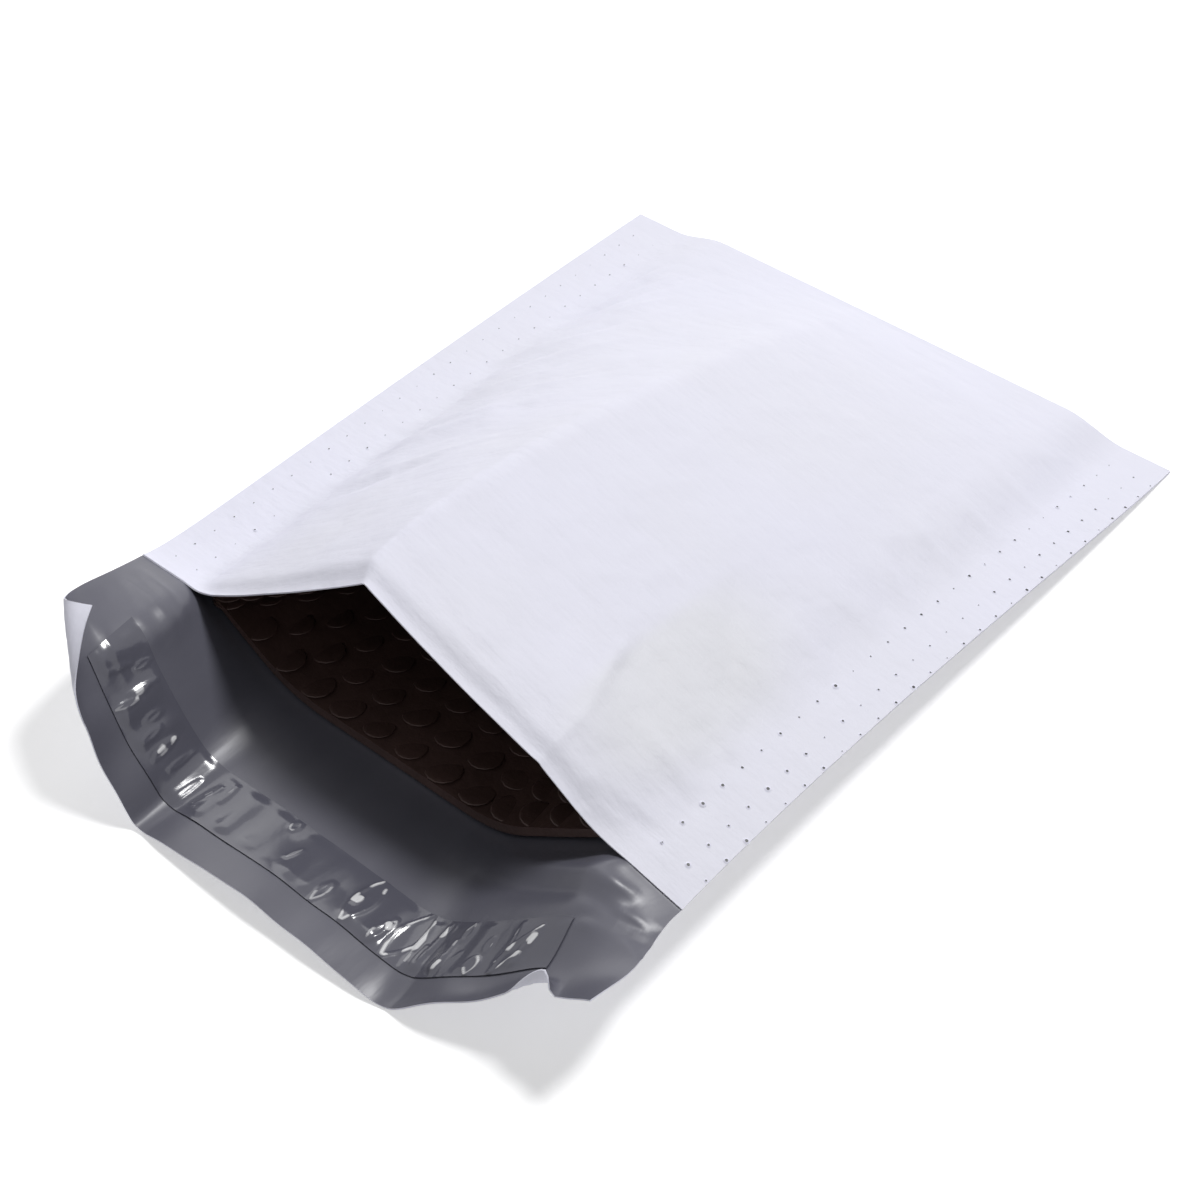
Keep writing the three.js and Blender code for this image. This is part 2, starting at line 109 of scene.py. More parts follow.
# The lip flares up at its left end, arches in the middle and gathers at its right end
LEFT_FLARE = 0.5
RIGHT_FLARE = 0.1
LIP_ARCH = 5 * MM
ARCH_HALF = 40 * MM
RIGHT_GATHER = 15 * MM
GATHER_START = 34 * MM

# The lip's left corner is turned in along a line across the corner
TURN_ALONG_SIDE = 9 * MM
TURN_ALONG_LIP = 26 * MM
TURN_ROUND = 2.2 * MM
TURN_ANGLE = 2.0

# Near its right end the lip's free edge is curled up
CURL_START = 67 * MM
CURL_TOP = 79 * MM
CURL_END = 83 * MM
CURL_HEIGHT = 6.5 * MM
CURL_ROUND = 2.4 * MM
CURL_ANGLE = 1.75

# The padding thickens the bag towards the bottom fold, which draws the walls back from the corners
PADDING = 5.6 * MM
PADDING_RUN = 20 * MM
PADDING_RISE = 2
FOLD_DRAW = 40 * MM
FOLD_STEPS = 8
STEEPEST_RISE = 0.9

# The film steps down over the lining's front edge, just inside the mouth
MOUTH_STEP = 1.5 * MM
MOUTH_STEP_START = 1.2 * MM
MOUTH_STEP_END = 7 * MM
MOUTH_STEP_SIDE = 14 * MM

# Heights of the two walls' film over the form, in layers of film
LOWER_LAYER = 0.5
UPPER_LAYER = 1.5

# Wrinkles on the flat film, where a pair is a range that a value is drawn from
WRINKLE_SEED = 7
FAN_COUNT = 30
FAN_ALONG = (44 * MM, 172 * MM)
FAN_SCATTER = 3 * MM
FAN_HEADING = (math.radians(22), math.radians(62))
FAN_TWIST = math.radians(5)
FAN = {
    "across": (-79 * MM, -70 * MM),
    "length": (26 * MM, 58 * MM),
    "height": (0.4 * MM, 0.9 * MM),
    "width": (0.7 * MM, 1.4 * MM),
}
CRINKLE_COUNT = 90
CRINKLE = {
    "across": (-66 * MM, 70 * MM),
    "along": (10 * MM, 200 * MM),
    "heading": (0, math.pi),
    "length": (8 * MM, 22 * MM),
    "height": (0.1 * MM, 0.28 * MM),
    "width": (1.3 * MM, 2.2 * MM),
    "share_before": 0.5,
}
LIP_CRUMPLE_COUNT = 16
LIP_CRUMPLE = {
    "across": (70 * MM, 90 * MM),
    "along": (-28 * MM, -4 * MM),
    "heading": (-0.9, 0.9),
    "length": (6 * MM, 13 * MM),
    "height": (0.2 * MM, 0.5 * MM),
    "width": (1.0 * MM, 1.6 * MM),
}
RIGHT_WELD_WRINKLES = {
    "places": (9, 24, 40, 57, 74, 93, 110, 129, 150, 168),
    "start_across": (48 * MM, 60 * MM),
    "start_scatter": (-1 * MM, 6 * MM),
    "end_across": (78 * MM, 82 * MM),
    "end_scatter": (-4 * MM, 2 * MM),
    "width": (1.6 * MM, 3 * MM),
    "height": (0.5 * MM, 1 * MM),
}
LIP_END_WRINKLES = {
    "places": (-8, -15, -23, -31),
    "start_across": -90 * MM,
    "start_scatter": (-2 * MM, 2 * MM),
    "end_across": -66 * MM,
    "end_scatter": (-4 * MM, 4 * MM),
    "width": 1.5 * MM,
    "height": (0.5 * MM, 0.9 * MM),
}
MOUTH_RIPPLES = {
    "places": (2, 9, 17, 27),
    "start_across": (-40 * MM, -25 * MM),
    "start_scatter": (-2 * MM, 2 * MM),
    "end_across": (15 * MM, 40 * MM),
    "end_scatter": (-2 * MM, 4 * MM),
    "width": 3.4 * MM,
    "height": (0.25 * MM, 0.5 * MM),
}

# Single folds by their start and end across and along, width and height, all in millimetres
UPPER_FOLDS = (
    ((-80, 42), (-24, 140), 5, 1.0),
    ((57, 6), (84, 11), 2.2, -1.1),
    ((48, -12), (47, 24), 0.9, 0.5),
    ((47, 18), (40, 42), 1.2, 0.9),
    ((-8, -30), (-8, 70), 1.0, 0.35),
)
LIP_FOLDS = (
    ((36, -3), (84, -9), 2.6, 1.5),
    ((30, -9), (86, -16), 3.0, -1.3),
)

# Soft waves of the film, and the print of the lining's bubbles through it
UPPER_WAVES = 0.1 * MM
UPPER_WAVE_LENGTH = 24 * MM
LIP_WAVES = 0.35 * MM
LIP_WAVE_LENGTH = 19 * MM
BUBBLE_PRINT = 0.07 * MM
BUBBLE_PITCH = 10.5 * MM
LINED_START = 6 * MM
LINED_RUN = 8 * MM

# The upper wall's wrinkles end just past the welds and at the fold, the lower wall's where it lies flat
WRINKLES_PAST_WELD = 5 * MM
WRINKLES_WELD_RUN = 9 * MM
WRINKLES_FOLD_RUN = 16 * MM
FLAT_START = 30 * MM
FLAT_RUN = 20 * MM
DEEPEST_DENT = 0.8

# Repeated small shapes: faces round them, and the range and seed of their random sizes
SHARP_ANGLE = math.radians(58)
BUBBLE_SEGMENTS = 14
BUBBLE_RINGS = 8
BUBBLE_SCALES = (0.86, 1.05)
BUBBLE_SEED = 3
PRICK_SIDES = 12
PRICK_SCALES = (0.45, 1.15)
PRICK_SEED = 5

WHITE = (1.0, 1.0, 1.0)


# Shapes of lines and surfaces

def clamp01(value):
    return np.clip(value, 0.0, 1.0)


def smooth(value):
    held = clamp01(value)
    return held * held * (3 - 2 * held)


def mix(start, end, share):
    return start + (end - start) * share


def soft_ramp(distance, rounding):
    """A ramp that starts rising at zero, with its corner rounded over the given half length."""
    rounded = (distance + rounding) ** 2 / (4 * rounding)
    return np.where(distance <= -rounding, 0.0, np.where(distance >= rounding, distance, rounded))


def bent_line(across, knots):
    """Height of a line through (place, height, rounding) knots, with rounded corners."""
    height = knots[0][1] + 0 * across
    last_slope = 0.0
    for number, (knot, following) in enumerate(zip(knots, knots[1:])):
        slope = (following[1] - knot[1]) / (following[0] - knot[0])
        offset = across - knot[0]
        height = height + (slope - last_slope) * (offset if number == 0 else soft_ramp(offset, knot[2]))
        last_slope = slope
    return height


def soft_noise(across, along, wavelength, seed, waves=14):
    """A smooth random field of about unit height, from plane waves in seeded directions."""
    random = np.random.default_rng(seed)
    total = 0.0
    for _ in range(waves):
        heading = random.uniform(0, math.pi)
        length = wavelength * random.uniform(0.7, 1.5)
        phase = random.uniform(0, 2 * math.pi)
        total = total + np.sin(
            2 * math.pi * (across * math.cos(heading) + along * math.sin(heading)) / length + phase)
    return total * math.sqrt(2.0 / waves)


def sample(grid, rows, columns):
    """A grid's values at fractional rows and columns, along smooth cubic curves."""
    def weights(share):
        return (
            (-share + 2 * share**2 - share**3) / 2,
            (2 - 5 * share**2 + 3 * share**3) / 2,
            (share + 4 * share**2 - 3 * share**3) / 2,
            (share**3 - share**2) / 2,
        )

    row = np.floor(rows).astype(int)
    column = np.floor(columns).astype(int)
    total = 0.0
    for row_step, row_weight in zip(range(-1, 3), weights(rows - row)):
        for column_step, column_weight in zip(range(-1, 3), weights(columns - column)):
            picked_row = np.clip(row + row_step, 0, grid.shape[0] - 1)
            picked_column = np.clip(column + column_step, 0, grid.shape[1] - 1)
            total = total + (row_weight * column_weight)[..., None] * grid[picked_row, picked_column]
    return total


def unit(vectors):
    return vectors / np.maximum(np.linalg.norm(vectors, axis=-1, keepdims=True), 1e-12)


def grid_normals(points):
    """Unit vectors square to a grid of points, on the side that its columns cross its rows to."""
    return unit(np.cross(np.gradient(points, axis=1), np.gradient(points, axis=0)))


# The film's form

class FilmForm:
    """Middle surface of the film's two walls at grid places, the lower one with the lip."""

    def __init__(self, film):
        self.half = film.width / 2
        self.depth = film.depth
        self.lip = film.lip
        self.layer = film.layer
        self.weld_line = self.half - film.weld
        self.weld_knot = self.weld_line - WELD_ROUND
        self.columns = np.linspace(-self.half, self.half, film.columns + 1)
        lip_rows = np.linspace(-self.lip, 0, film.lip_rows + 1)
        self.bag_rows = np.linspace(0, self.depth, film.bag_rows + 1)
        self.rows = np.concatenate([lip_rows[:-1], self.bag_rows])
        self.mouth_row = film.lip_rows
        self.across = self.columns[None, :]
        self.along = self.rows[:, None]
        self.bag_share = clamp01(self.along / self.depth)
        self.lip_share = clamp01(-self.along / self.lip)
        self.make_walls()

    def make_walls(self):
        on_lip = smooth(self.lip_share)
        out = np.maximum(-self.along, 0)
        flick = LEFT_EDGE_FLICK * np.exp(-np.maximum(self.along, 0) / FLICK_REACH)
        left = LEFT_EDGE_HEIGHT * (1 - self.bag_share**LEFT_FALL) + flick + LEFT_FLARE * out
        right = RIGHT_EDGE_HEIGHT * (1 - self.bag_share**RIGHT_FALL) + RIGHT_FLARE * out
        spread = self.bag_share**BEND_SPREAD
        left_bend = mix(LEFT_BEND, BOTTOM_BEND, spread)
        right_bend = mix(mix(RIGHT_BEND, LIP_BEND, on_lip), BOTTOM_BEND, spread)
        left_weld = left * mix(1, self.straight_share(left_bend), on_lip)
        weld_rise = RIGHT_WELD_SLOPE * (self.half - self.weld_knot) * (1 - self.bag_share)
        right_weld = mix(right + weld_rise, right * self.straight_share(right_bend), on_lip)
        left_end = [(-self.half, left, 0), (-self.weld_knot, left_weld, WELD_ROUND)]
        right_end = [(self.weld_knot, right_weld, WELD_ROUND), (self.half, right, 0)]
        bend_round = mix(BEND_ROUND, LIP_BEND_ROUND, on_lip)
        bends = [(-left_bend, 0, bend_round), (right_bend, 0, bend_round)]
        lower = bent_line(self.across, [*left_end, *bends, *right_end])
        lower = lower + LIP_ARCH * self.lip_share**2 * clamp01(1 - (self.across / ARCH_HALF) ** 2)
        softening = smooth(self.along / FOLD_SOFTENS)
        jog = smooth((self.along - CREASE_JOG_START) / (CREASE_JOG_END - CREASE_JOG_START))
        fall = 1 - self.bag_share**RIDGE_FALL
        folds = [
            (RIDGE_PLACE, RIDGE_HEIGHT * fall, mix(*RIDGE_ROUND, softening)),
            (CREASE_PLACE - CREASE_JOG * jog, CREASE_HEIGHT * fall, mix(*CREASE_ROUND, softening)),
        ]
        upper = bent_line(self.across, [*left_end, *folds, *right_end])
        padded = PADDING * smooth((self.weld_line - np.abs(self.across)) / PADDING_RUN)
        upper = upper + padded * self.bag_share**PADDING_RISE
        lower_x = self.walk_across(lower)
        upper_x = self.fit_between(self.walk_across(upper), lower_x)
        draw = 0.5 * (upper[-1] - lower[-1])
        draw = draw * clamp01((self.along - self.depth + FOLD_DRAW) / FOLD_DRAW) ** 2
        gather = RIGHT_GATHER * smooth((self.across - GATHER_START) / (self.half - GATHER_START))
        lower_y = self.walk_along(lower_x, lower) + gather * self.lip_share - draw
        upper_y = self.walk_along(upper_x, upper) - draw
        self.lower = np.stack([lower_x, lower_y, lower], axis=-1)
        self.upper = np.stack([upper_x, upper_y, upper], axis=-1)[self.mouth_row:]
        self.place_in_frame()

    def straight_share(self, bend):
        """Share of the edge's height that the weld has where the film is straight from bend to edge."""
        return (self.weld_knot - bend) / (self.half - bend)

    def walk_across(self, heights):
        """Places across the bag when every step keeps the film's own length."""
        step = np.diff(self.columns) ** 2 - np.diff(heights, axis=1) ** 2
        walked = np.cumsum(np.sqrt(np.maximum(step, 0)), axis=1)
        walked = np.concatenate([np.zeros((len(heights), 1)), walked], axis=1)
        middle = len(self.columns) // 2
        return walked - walked[:, middle:middle + 1]

    def fit_between(self, upper_x, lower_x):
        """Moves the upper wall's rows so that both of their ends lie on the lower wall's welds."""
        share = smooth((self.across + self.weld_line) / (2 * self.weld_line))
        return upper_x + mix(lower_x[:, :1] - upper_x[:, :1], lower_x[:, -1:] - upper_x[:, -1:], share)

    def walk_along(self, x, z):
        """Places along the bag, walked from the bottom fold towards the lip."""
        run = np.diff(self.rows)[:, None]
        rise = np.hypot(np.diff(z, axis=0), np.diff(x, axis=0))
        step = np.sqrt(run**2 - np.minimum(rise, STEEPEST_RISE * run) ** 2)
        back = np.cumsum(step[::-1], axis=0)[::-1]
        return self.depth - np.concatenate([back, np.zeros((1, len(self.columns)))])

    def place_in_frame(self):
        """Moves the film to the frame's place, which the bottom fold's furthest point gives."""
        ends = self.upper[-1], self.lower[-1]
        bulge = np.linalg.norm(ends[0] - ends[1], axis=-1) / 2 + self.layer
        furthest = np.max((ends[0] + ends[1])[:, 1] / 2 + bulge)
        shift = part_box("outer_film")[1].y - furthest
        self.lower[..., 1] += shift
        self.upper[..., 1] += shift

    def row_place(self, along, first_row=0):
        return np.interp(along, self.rows[first_row:], np.arange(len(self.rows) - first_row))

    def column_place(self, across):
        return np.interp(across, self.columns, np.arange(len(self.columns)))

    def on_lower(self, across, along, height):
        return self.lifted(self.lower, across, along, height, 0)

    def on_upper(self, across, along, height):
        return self.lifted(self.upper, across, along, height, self.mouth_row)

    def lifted(self, wall, across, along, height, first_row):
        """Points over a wall at flat places, each raised by its height on the wall's upper side."""
        across, along = np.broadcast_arrays(across, along)
        rows = self.row_place(along, first_row)
        columns = self.column_place(across)
        normals = unit(sample(grid_normals(wall), rows, columns))
        return sample(wall, rows, columns) + normals * np.broadcast_to(height, across.shape)[..., None]


# Wrinkles of the film

class WrinkleField:
    """Wrinkles on the flat film, added up at a grid of places."""

    def __init__(self, across, along, seed):
        self.across = across
        self.along = along
        self.random = np.random.default_rng(seed)
        self.height = np.zeros(np.broadcast(across, along).shape)

    def pick(self, value):
        """A number as it is, or one drawn from a range."""
        return self.random.uniform(*value) if isinstance(value, tuple) else value

    def add(self, start, end, width, height):
        """One crease from start to end, peaked across its line and fading at both ends."""
        run = np.subtract(end, start)
        length = math.hypot(*run)
        from_start = (self.across - start[0], self.along - start[1])
        share = (from_start[0] * run[0] + from_start[1] * run[1]) / length**2
        aside = (from_start[0] * run[1] - from_start[1] * run[0]) / length
        taper = np.sin(math.pi * clamp01(share))
        self.height += height * taper / (1 + (aside / width) ** 2)

    def add_folds(self, folds):
        for start, end, width, height in folds:
            self.add(np.multiply(start, MM), np.multiply(end, MM), width * MM, height * MM)

    def add_drawn(self, across, along, heading, length, height, width, share_before=0.0):
        """One crease or dent that runs towards a heading, with a share of it before its place."""
        place = np.array([self.pick(across), self.pick(along)])
        heading = self.pick(heading)
        run = self.pick(length) * np.array([math.cos(heading), math.sin(heading)])
        height = self.random.choice([-1, 1]) * self.pick(height)
        start = place - share_before * run
        self.add(start, start + run, self.pick(width), height)

    def add_row(self, places, start_across, start_scatter, end_across, end_scatter, width, height):
        """Creases side by side at places along the bag, each with its ends scattered."""
        for place in places:
            start = (self.pick(start_across), place * MM + self.pick(start_scatter))
            end = (self.pick(end_across), place * MM + self.pick(end_scatter))
            self.add(start, end, self.pick(width), self.pick(height))


def upper_wrinkles(form):
    """How far the upper wall stands proud: wrinkles, waves, bubbles and the step at the mouth."""
    across = form.across
    along = form.bag_rows[:, None]
    field = WrinkleField(across, along, WRINKLE_SEED)
    for number in range(FAN_COUNT):
        share = number / (FAN_COUNT - 1)
        place = mix(*FAN_ALONG, share)
        heading = mix(*FAN_HEADING, share)
        field.add_drawn(along=(place - FAN_SCATTER, place + FAN_SCATTER),
                        heading=(heading - FAN_TWIST, heading + FAN_TWIST), **FAN)
    field.add_row(**RIGHT_WELD_WRINKLES)
    for _ in range(CRINKLE_COUNT):
        field.add_drawn(**CRINKLE)
    field.add_folds(UPPER_FOLDS)
    waves = UPPER_WAVES * soft_noise(across, along, UPPER_WAVE_LENGTH, WRINKLE_SEED + 1)
    from_weld = form.weld_line - np.abs(across)
    lined = smooth(from_weld / LINED_RUN) * smooth((along - LINED_START) / LINED_RUN)
    bubbles = BUBBLE_PRINT * lined * hex_bumps(across, along, BUBBLE_PITCH)
    fading = smooth((from_weld + WRINKLES_PAST_WELD) / WRINKLES_WELD_RUN)
    fading = fading * smooth((form.depth - along) / WRINKLES_FOLD_RUN)
    step = MOUTH_STEP * smooth((MOUTH_STEP_END - along) / (MOUTH_STEP_END - MOUTH_STEP_START))
    return (field.height + waves + bubbles) * fading - step * smooth(from_weld / MOUTH_STEP_SIDE)


def hex_bumps(across, along, pitch):
    """Round bumps on a six-sided pattern."""
    turn = 4 * math.pi / (math.sqrt(3) * pitch)
    headings = (math.pi / 2, math.pi / 2 + math.pi / 3, math.pi / 2 + 2 * math.pi / 3)
    waves = [np.cos(turn * (across * math.cos(h) + along * math.sin(h))) for h in headings]
    return np.maximum(sum(waves), 0) / 3


def lower_wrinkles(form):
    """How far the lower wall and the lip stand proud on the inside, without dents into the floor."""
    field = WrinkleField(form.across, form.along, WRINKLE_SEED + 2)
    field.add_row(**LIP_END_WRINKLES)
    for _ in range(LIP_CRUMPLE_COUNT):
        field.add_drawn(**LIP_CRUMPLE)
    field.add_row(**MOUTH_RIPPLES)
    field.add_folds(LIP_FOLDS)
    waves = LIP_WAVES * soft_noise(form.across, form.along, LIP_WAVE_LENGTH, WRINKLE_SEED + 3)
    fading = 1 - smooth((form.along - FLAT_START) / FLAT_RUN)
    total = (field.height + waves * form.lip_share**2) * fading
    return np.maximum(total, -DEEPEST_DENT * form.lower[..., 2])


def turn_corner(form, points):
    """Rolls the lip's left corner over inwards about a line across the corner."""
    length = math.hypot(TURN_ALONG_SIDE, TURN_ALONG_LIP)
    away = (-TURN_ALONG_SIDE / length, -TURN_ALONG_LIP / length)
    across, along = np.broadcast_arrays(form.across, form.along)
    past = (across + form.half) * away[0] + (along + form.lip - TURN_ALONG_SIDE) * away[1]
    return roll_over(form, points, past, away, TURN_ROUND, TURN_ANGLE)


def curl_edge(form, points):
    """Rolls the lip's free edge up near its right end."""
    rising = smooth((form.columns - CURL_START) / (CURL_TOP - CURL_START))
    falling = 1 - smooth((form.columns - CURL_TOP) / (CURL_END - CURL_TOP))
    line = -form.lip + CURL_HEIGHT * rising * falling
    past = line[None, :] - form.along
    return roll_over(form, points, past, (0.0, -1.0), CURL_ROUND, CURL_ANGLE)


def roll_over(form, points, past, away, rounding, most):
    """Points past a line on the flat film, rolled about it by their distance up to the most."""
    beyond = past > 0
    across, along = np.broadcast_arrays(form.across, form.along)
    distance = past[beyond]
    rows = form.row_place(along[beyond] - distance * away[1])
    columns = form.column_place(across[beyond] - distance * away[0])
    across_step = unit(sample(np.gradient(points, axis=1), rows, columns))
    along_step = unit(sample(np.gradient(points, axis=0), rows, columns))
    normal = unit(np.cross(across_step, along_step))
    outward = unit(across_step * away[0] + along_step * away[1])
    angle = np.minimum(distance / rounding, most)[:, None]
    straight = distance[:, None] - angle * rounding
    reach = rounding * np.sin(angle) + straight * np.cos(angle)
    climb = rounding * (1 - np.cos(angle)) + straight * np.sin(angle)
    rolled = points.copy()
    rolled[beyond] = sample(points, rows, columns) + outward * reach + normal * climb
    return rolled


# Meshes

def mesh_piece(name, points, faces, materials, face_materials=None, flat_places=None):
    """A smooth-shaded mesh object at the origin, with sharp rims and flat places as its UV map."""
    mesh = bpy.data.meshes.new(name)
    mesh.from_pydata(np.asarray(points).tolist(), [], np.asarray(faces).tolist())
    for material in materials:
        mesh.materials.append(material)
    if face_materials is not None:
        mesh.polygons.foreach_set("material_index", np.asarray(face_materials, dtype=np.int32))
    if flat_places is not None:
        corners = np.zeros(len(mesh.loops), dtype=np.int32)
        mesh.loops.foreach_get("vertex_index", corners)
        mesh.uv_layers.new(name="flat")
        mesh.uv_layers["flat"].data.foreach_set("uv", flat_places[corners].astype(np.float32).ravel())
    mesh.polygons.foreach_set("use_smooth", np.ones(len(mesh.polygons), dtype=bool))
    mesh.set_sharp_from_angle(angle=SHARP_ANGLE)
    mesh.validate()
    piece = bpy.data.objects.new(name, mesh)
    bpy.context.scene.collection.objects.link(piece)
    return piece


def point_values(piece, name, values):
    """Gives the piece an attribute with one number for each point."""
    attribute = piece.data.attributes.new(name, "FLOAT", "POINT")
    attribute.data.foreach_set("value", np.asarray(values, dtype=np.float32))


def grid_faces(rows, columns, start=0):
    """Quads of a grid of points that face the side its columns cross its rows to."""
    corner = start + np.arange(rows - 1)[:, None] * columns + np.arange(columns - 1)[None, :]
    return np.stack([corner, corner + 1, corner + columns + 1, corner + columns], axis=-1).reshape(-1, 4)


def rim_loop(rows, columns):
    """Places of a grid's edge points in order round it."""
    places = np.arange(rows * columns).reshape(rows, columns)
    return np.concatenate([places[0, :-1], places[:-1, -1], places[-1, :0:-1], places[:0:-1, 0]])


def thick_sheet(inner, outer):
    """Points of a closed sheet between two grids, and the quads of its inner, outer and rim faces."""
    rows, columns = inner.shape[:2]
    count = rows * columns
    points = np.concatenate([inner.reshape(-1, 3), outer.reshape(-1, 3)])
    inner_faces = grid_faces(rows, columns)
    outer_faces = grid_faces(rows, columns, count)[:, ::-1]
    loop = rim_loop(rows, columns)
    following = np.roll(loop, -1)
    rim_faces = np.stack([following, loop, loop + count, following + count], axis=-1)
    return points, inner_faces, outer_faces, rim_faces


# Materials

class Finish:
    """A material with one principled shader, and short ways to add noise, colour and bump to it."""

    def __init__(self, name, roughness, **sockets):
        self.material = bpy.data.materials.new(name)
        self.material.use_nodes = True
        self.nodes = self.material.node_tree.nodes
        self.links = self.material.node_tree.links
        self.shader = self.nodes["Principled BSDF"]
        self.shader.inputs["Roughness"].default_value = roughness
        for socket, value in sockets.items():
            self.shader.inputs[socket.replace("_", " ")].default_value = value
        self.places = self.nodes.new("ShaderNodeTexCoord")

    def attribute(self, name):
        """The piece's own attribute of this name."""
        attribute = self.nodes.new("ShaderNodeAttribute")
        attribute.attribute_name = name
        return attribute.outputs["Fac"]

    def noise(self, wavelength, detail=3.0, stretch=(1, 1, 1), source="Object", turn=0.0):
        """Noise of about this wavelength on the piece's Object coordinates or UV map."""
        mapping = self.nodes.new("ShaderNodeMapping")
        mapping.inputs["Scale"].default_value = stretch
        mapping.inputs["Rotation"].default_value[2] = turn
        self.links.new(self.places.outputs[source], mapping.inputs["Vector"])
        noise = self.nodes.new("ShaderNodeTexNoise")
        noise.inputs["Scale"].default_value = 1 / wavelength
        noise.inputs["Detail"].default_value = detail
        self.links.new(mapping.outputs["Vector"], noise.inputs["Vector"])
        return noise.outputs["Fac"]

    def ramp(self, value, start, end, colours):
        """Colour that runs from the first to the second as the value goes from start to end."""
        ramp = self.nodes.new("ShaderNodeValToRGB")
        for element, place, colour in zip(ramp.color_ramp.elements, (start, end), colours):
            element.position = place
            element.color = (*colour, 1.0)
        self.links.new(value, ramp.inputs["Fac"])
        return ramp.outputs["Color"]

    def vary(self, socket, value, low, high):
        """Runs a number socket between low and high with a value from 0 to 1."""
        spread = self.nodes.new("ShaderNodeMapRange")
        spread.inputs["To Min"].default_value = low
        spread.inputs["To Max"].default_value = high
        self.links.new(value, spread.inputs["Value"])
        self.links.new(spread.outputs["Result"], self.shader.inputs[socket])

    def product(self, first, second):
        """Two colours multiplied."""
        mixed = self.nodes.new("ShaderNodeMix")
        mixed.data_type = "RGBA"
        mixed.blend_type = "MULTIPLY"
        factor, start, end = (next(s for s in mixed.inputs if s.identifier == name)
                              for name in ("Factor_Float", "A_Color", "B_Color"))
        factor.default_value = 1.0
        self.links.new(first, start)
        self.links.new(second, end)
        return next(s for s in mixed.outputs if s.identifier == "Result_Color")

    def colour(self, output):
        self.links.new(output, self.shader.inputs["Base Color"])

    def bump(self, value, height, under=None):
        """Bumps of this height over the surface, or over the normal of bumps under them."""
        bump = self.nodes.new("ShaderNodeBump")
        bump.inputs["Distance"].default_value = height
        self.links.new(value, bump.inputs["Height"])
        if under is not None:
            self.links.new(under, bump.inputs["Normal"])
        self.links.new(bump.outputs["Normal"], self.shader.inputs["Normal"])
        return bump.outputs["Normal"]


def tinted(colour, factor, warmth=0.0):
    """A colour made lighter or darker, and warmer by taking blue away."""
    return (colour[0] * factor, colour[1] * factor, colour[2] * (factor - warmth))


def white_film(colour):
    """Matt white outside of the film, finely crinkled, with painted shade that makes it slightly darker and
    warmer in one patch beside the crease.
    """
    finish = Finish("white_film", roughness=0.6)
    cloud = finish.noise(wavelength=60 * MM, detail=2.0)
    base = finish.ramp(cloud, 0.35, 0.7, (tuple(colour), tinted(colour, 0.98, warmth=0.02)))
    # Painted shade: a patch beside the crease is tinted slightly darker and warmer, where the panel turns
    # from the light.
    shade_tint = finish.ramp(finish.attribute("painted_shade"), 0.0, 1.0, (WHITE, (0.98, 0.985, 0.94)))
    finish.colour(finish.product(base, shade_tint))
    crinkle = finish.noise(wavelength=7 * MM, detail=4.0)
    finish.vary("Roughness", crinkle, low=0.52, high=0.66)
    grain = finish.bump(finish.noise(wavelength=1.3 * MM, detail=2.0), height=0.02 * MM)
    fold = finish.noise(wavelength=4.5 * MM, stretch=(0.22, 1, 1), source="UV", turn=math.radians(-28))
    folds = finish.bump(fold, height=0.35 * MM, under=grain)
    finish.bump(crinkle, height=0.4 * MM, under=folds)
    return finish.material


def grey_film(colour):
    """Shiny grey inside of the film, with faint streaks along it."""
    finish = Finish("grey_film", roughness=0.34)
    cloud = finish.noise(wavelength=34 * MM)
    finish.colour(finish.ramp(cloud, 0.3, 0.72, (tinted(colour, 0.93), tinted(colour, 1.07))))
    streak = finish.noise(wavelength=9 * MM, detail=4.0, stretch=(1, 0.25, 1), source="UV")
    finish.vary("Roughness", streak, low=0.28, high=0.42)
    finish.bump(streak, height=0.22 * MM)
    return finish.material


def lining_film(colour):
    """Dark crumpled film of the bubble lining."""
    finish = Finish("lining_film", roughness=0.4, Specular_IOR_Level=0.3)
    cloud = finish.noise(wavelength=22 * MM, detail=5.0)
    finish.colour(finish.ramp(cloud, 0.3, 0.75, (tinted(colour, 0.75), tinted(colour, 1.35))))
    finish.bump(finish.noise(wavelength=5 * MM, detail=4.0), height=0.4 * MM)
    return finish.material


def glue(colour):
    """Uneven tacky glue."""
    finish = Finish("glue", roughness=0.3)
    cloud = finish.noise(wavelength=6 * MM)
    finish.colour(finish.ramp(cloud, 0.3, 0.7, (tinted(colour, 0.9), tinted(colour, 1.15))))
    finish.bump(cloud, height=0.1 * MM)
    return finish.material


def clear_strip(colour):
    """Glossy strip that shows the grey below, with painted highlights of light grey along the rims of its
    blisters.
    """
    finish = Finish("clear_strip", roughness=0.14)
    # Painted highlights: the colour turns light grey along the blister rims, where they would catch the
    # light.
    painted_glint = finish.attribute("painted_glint")
    finish.colour(finish.ramp(painted_glint, 0.55, 1.0, (tuple(colour), (0.78, 0.78, 0.80))))
    gloss = finish.noise(wavelength=11 * MM, stretch=(1, 0.3, 1), source="UV")
    finish.vary("Roughness", gloss, low=0.1, high=0.2)
    ripple = finish.noise(wavelength=3 * MM, detail=2.0, stretch=(1, 0.4, 1), source="UV")
    finish.bump(ripple, height=0.06 * MM)
    return finish.material


def pricked_film(colour):
    """White burr whose top face is painted dark as the shade inside its hole."""
    finish = Finish("pricked_film", roughness=0.45)
    # Painted shade: the burr's top face is coloured near black for the dark of the hole.
    finish.colour(finish.ramp(finish.attribute("hole"), 0.3, 0.7, (tuple(colour), (0.05, 0.05, 0.055))))
    return finish.material


# Geometry Nodes trees

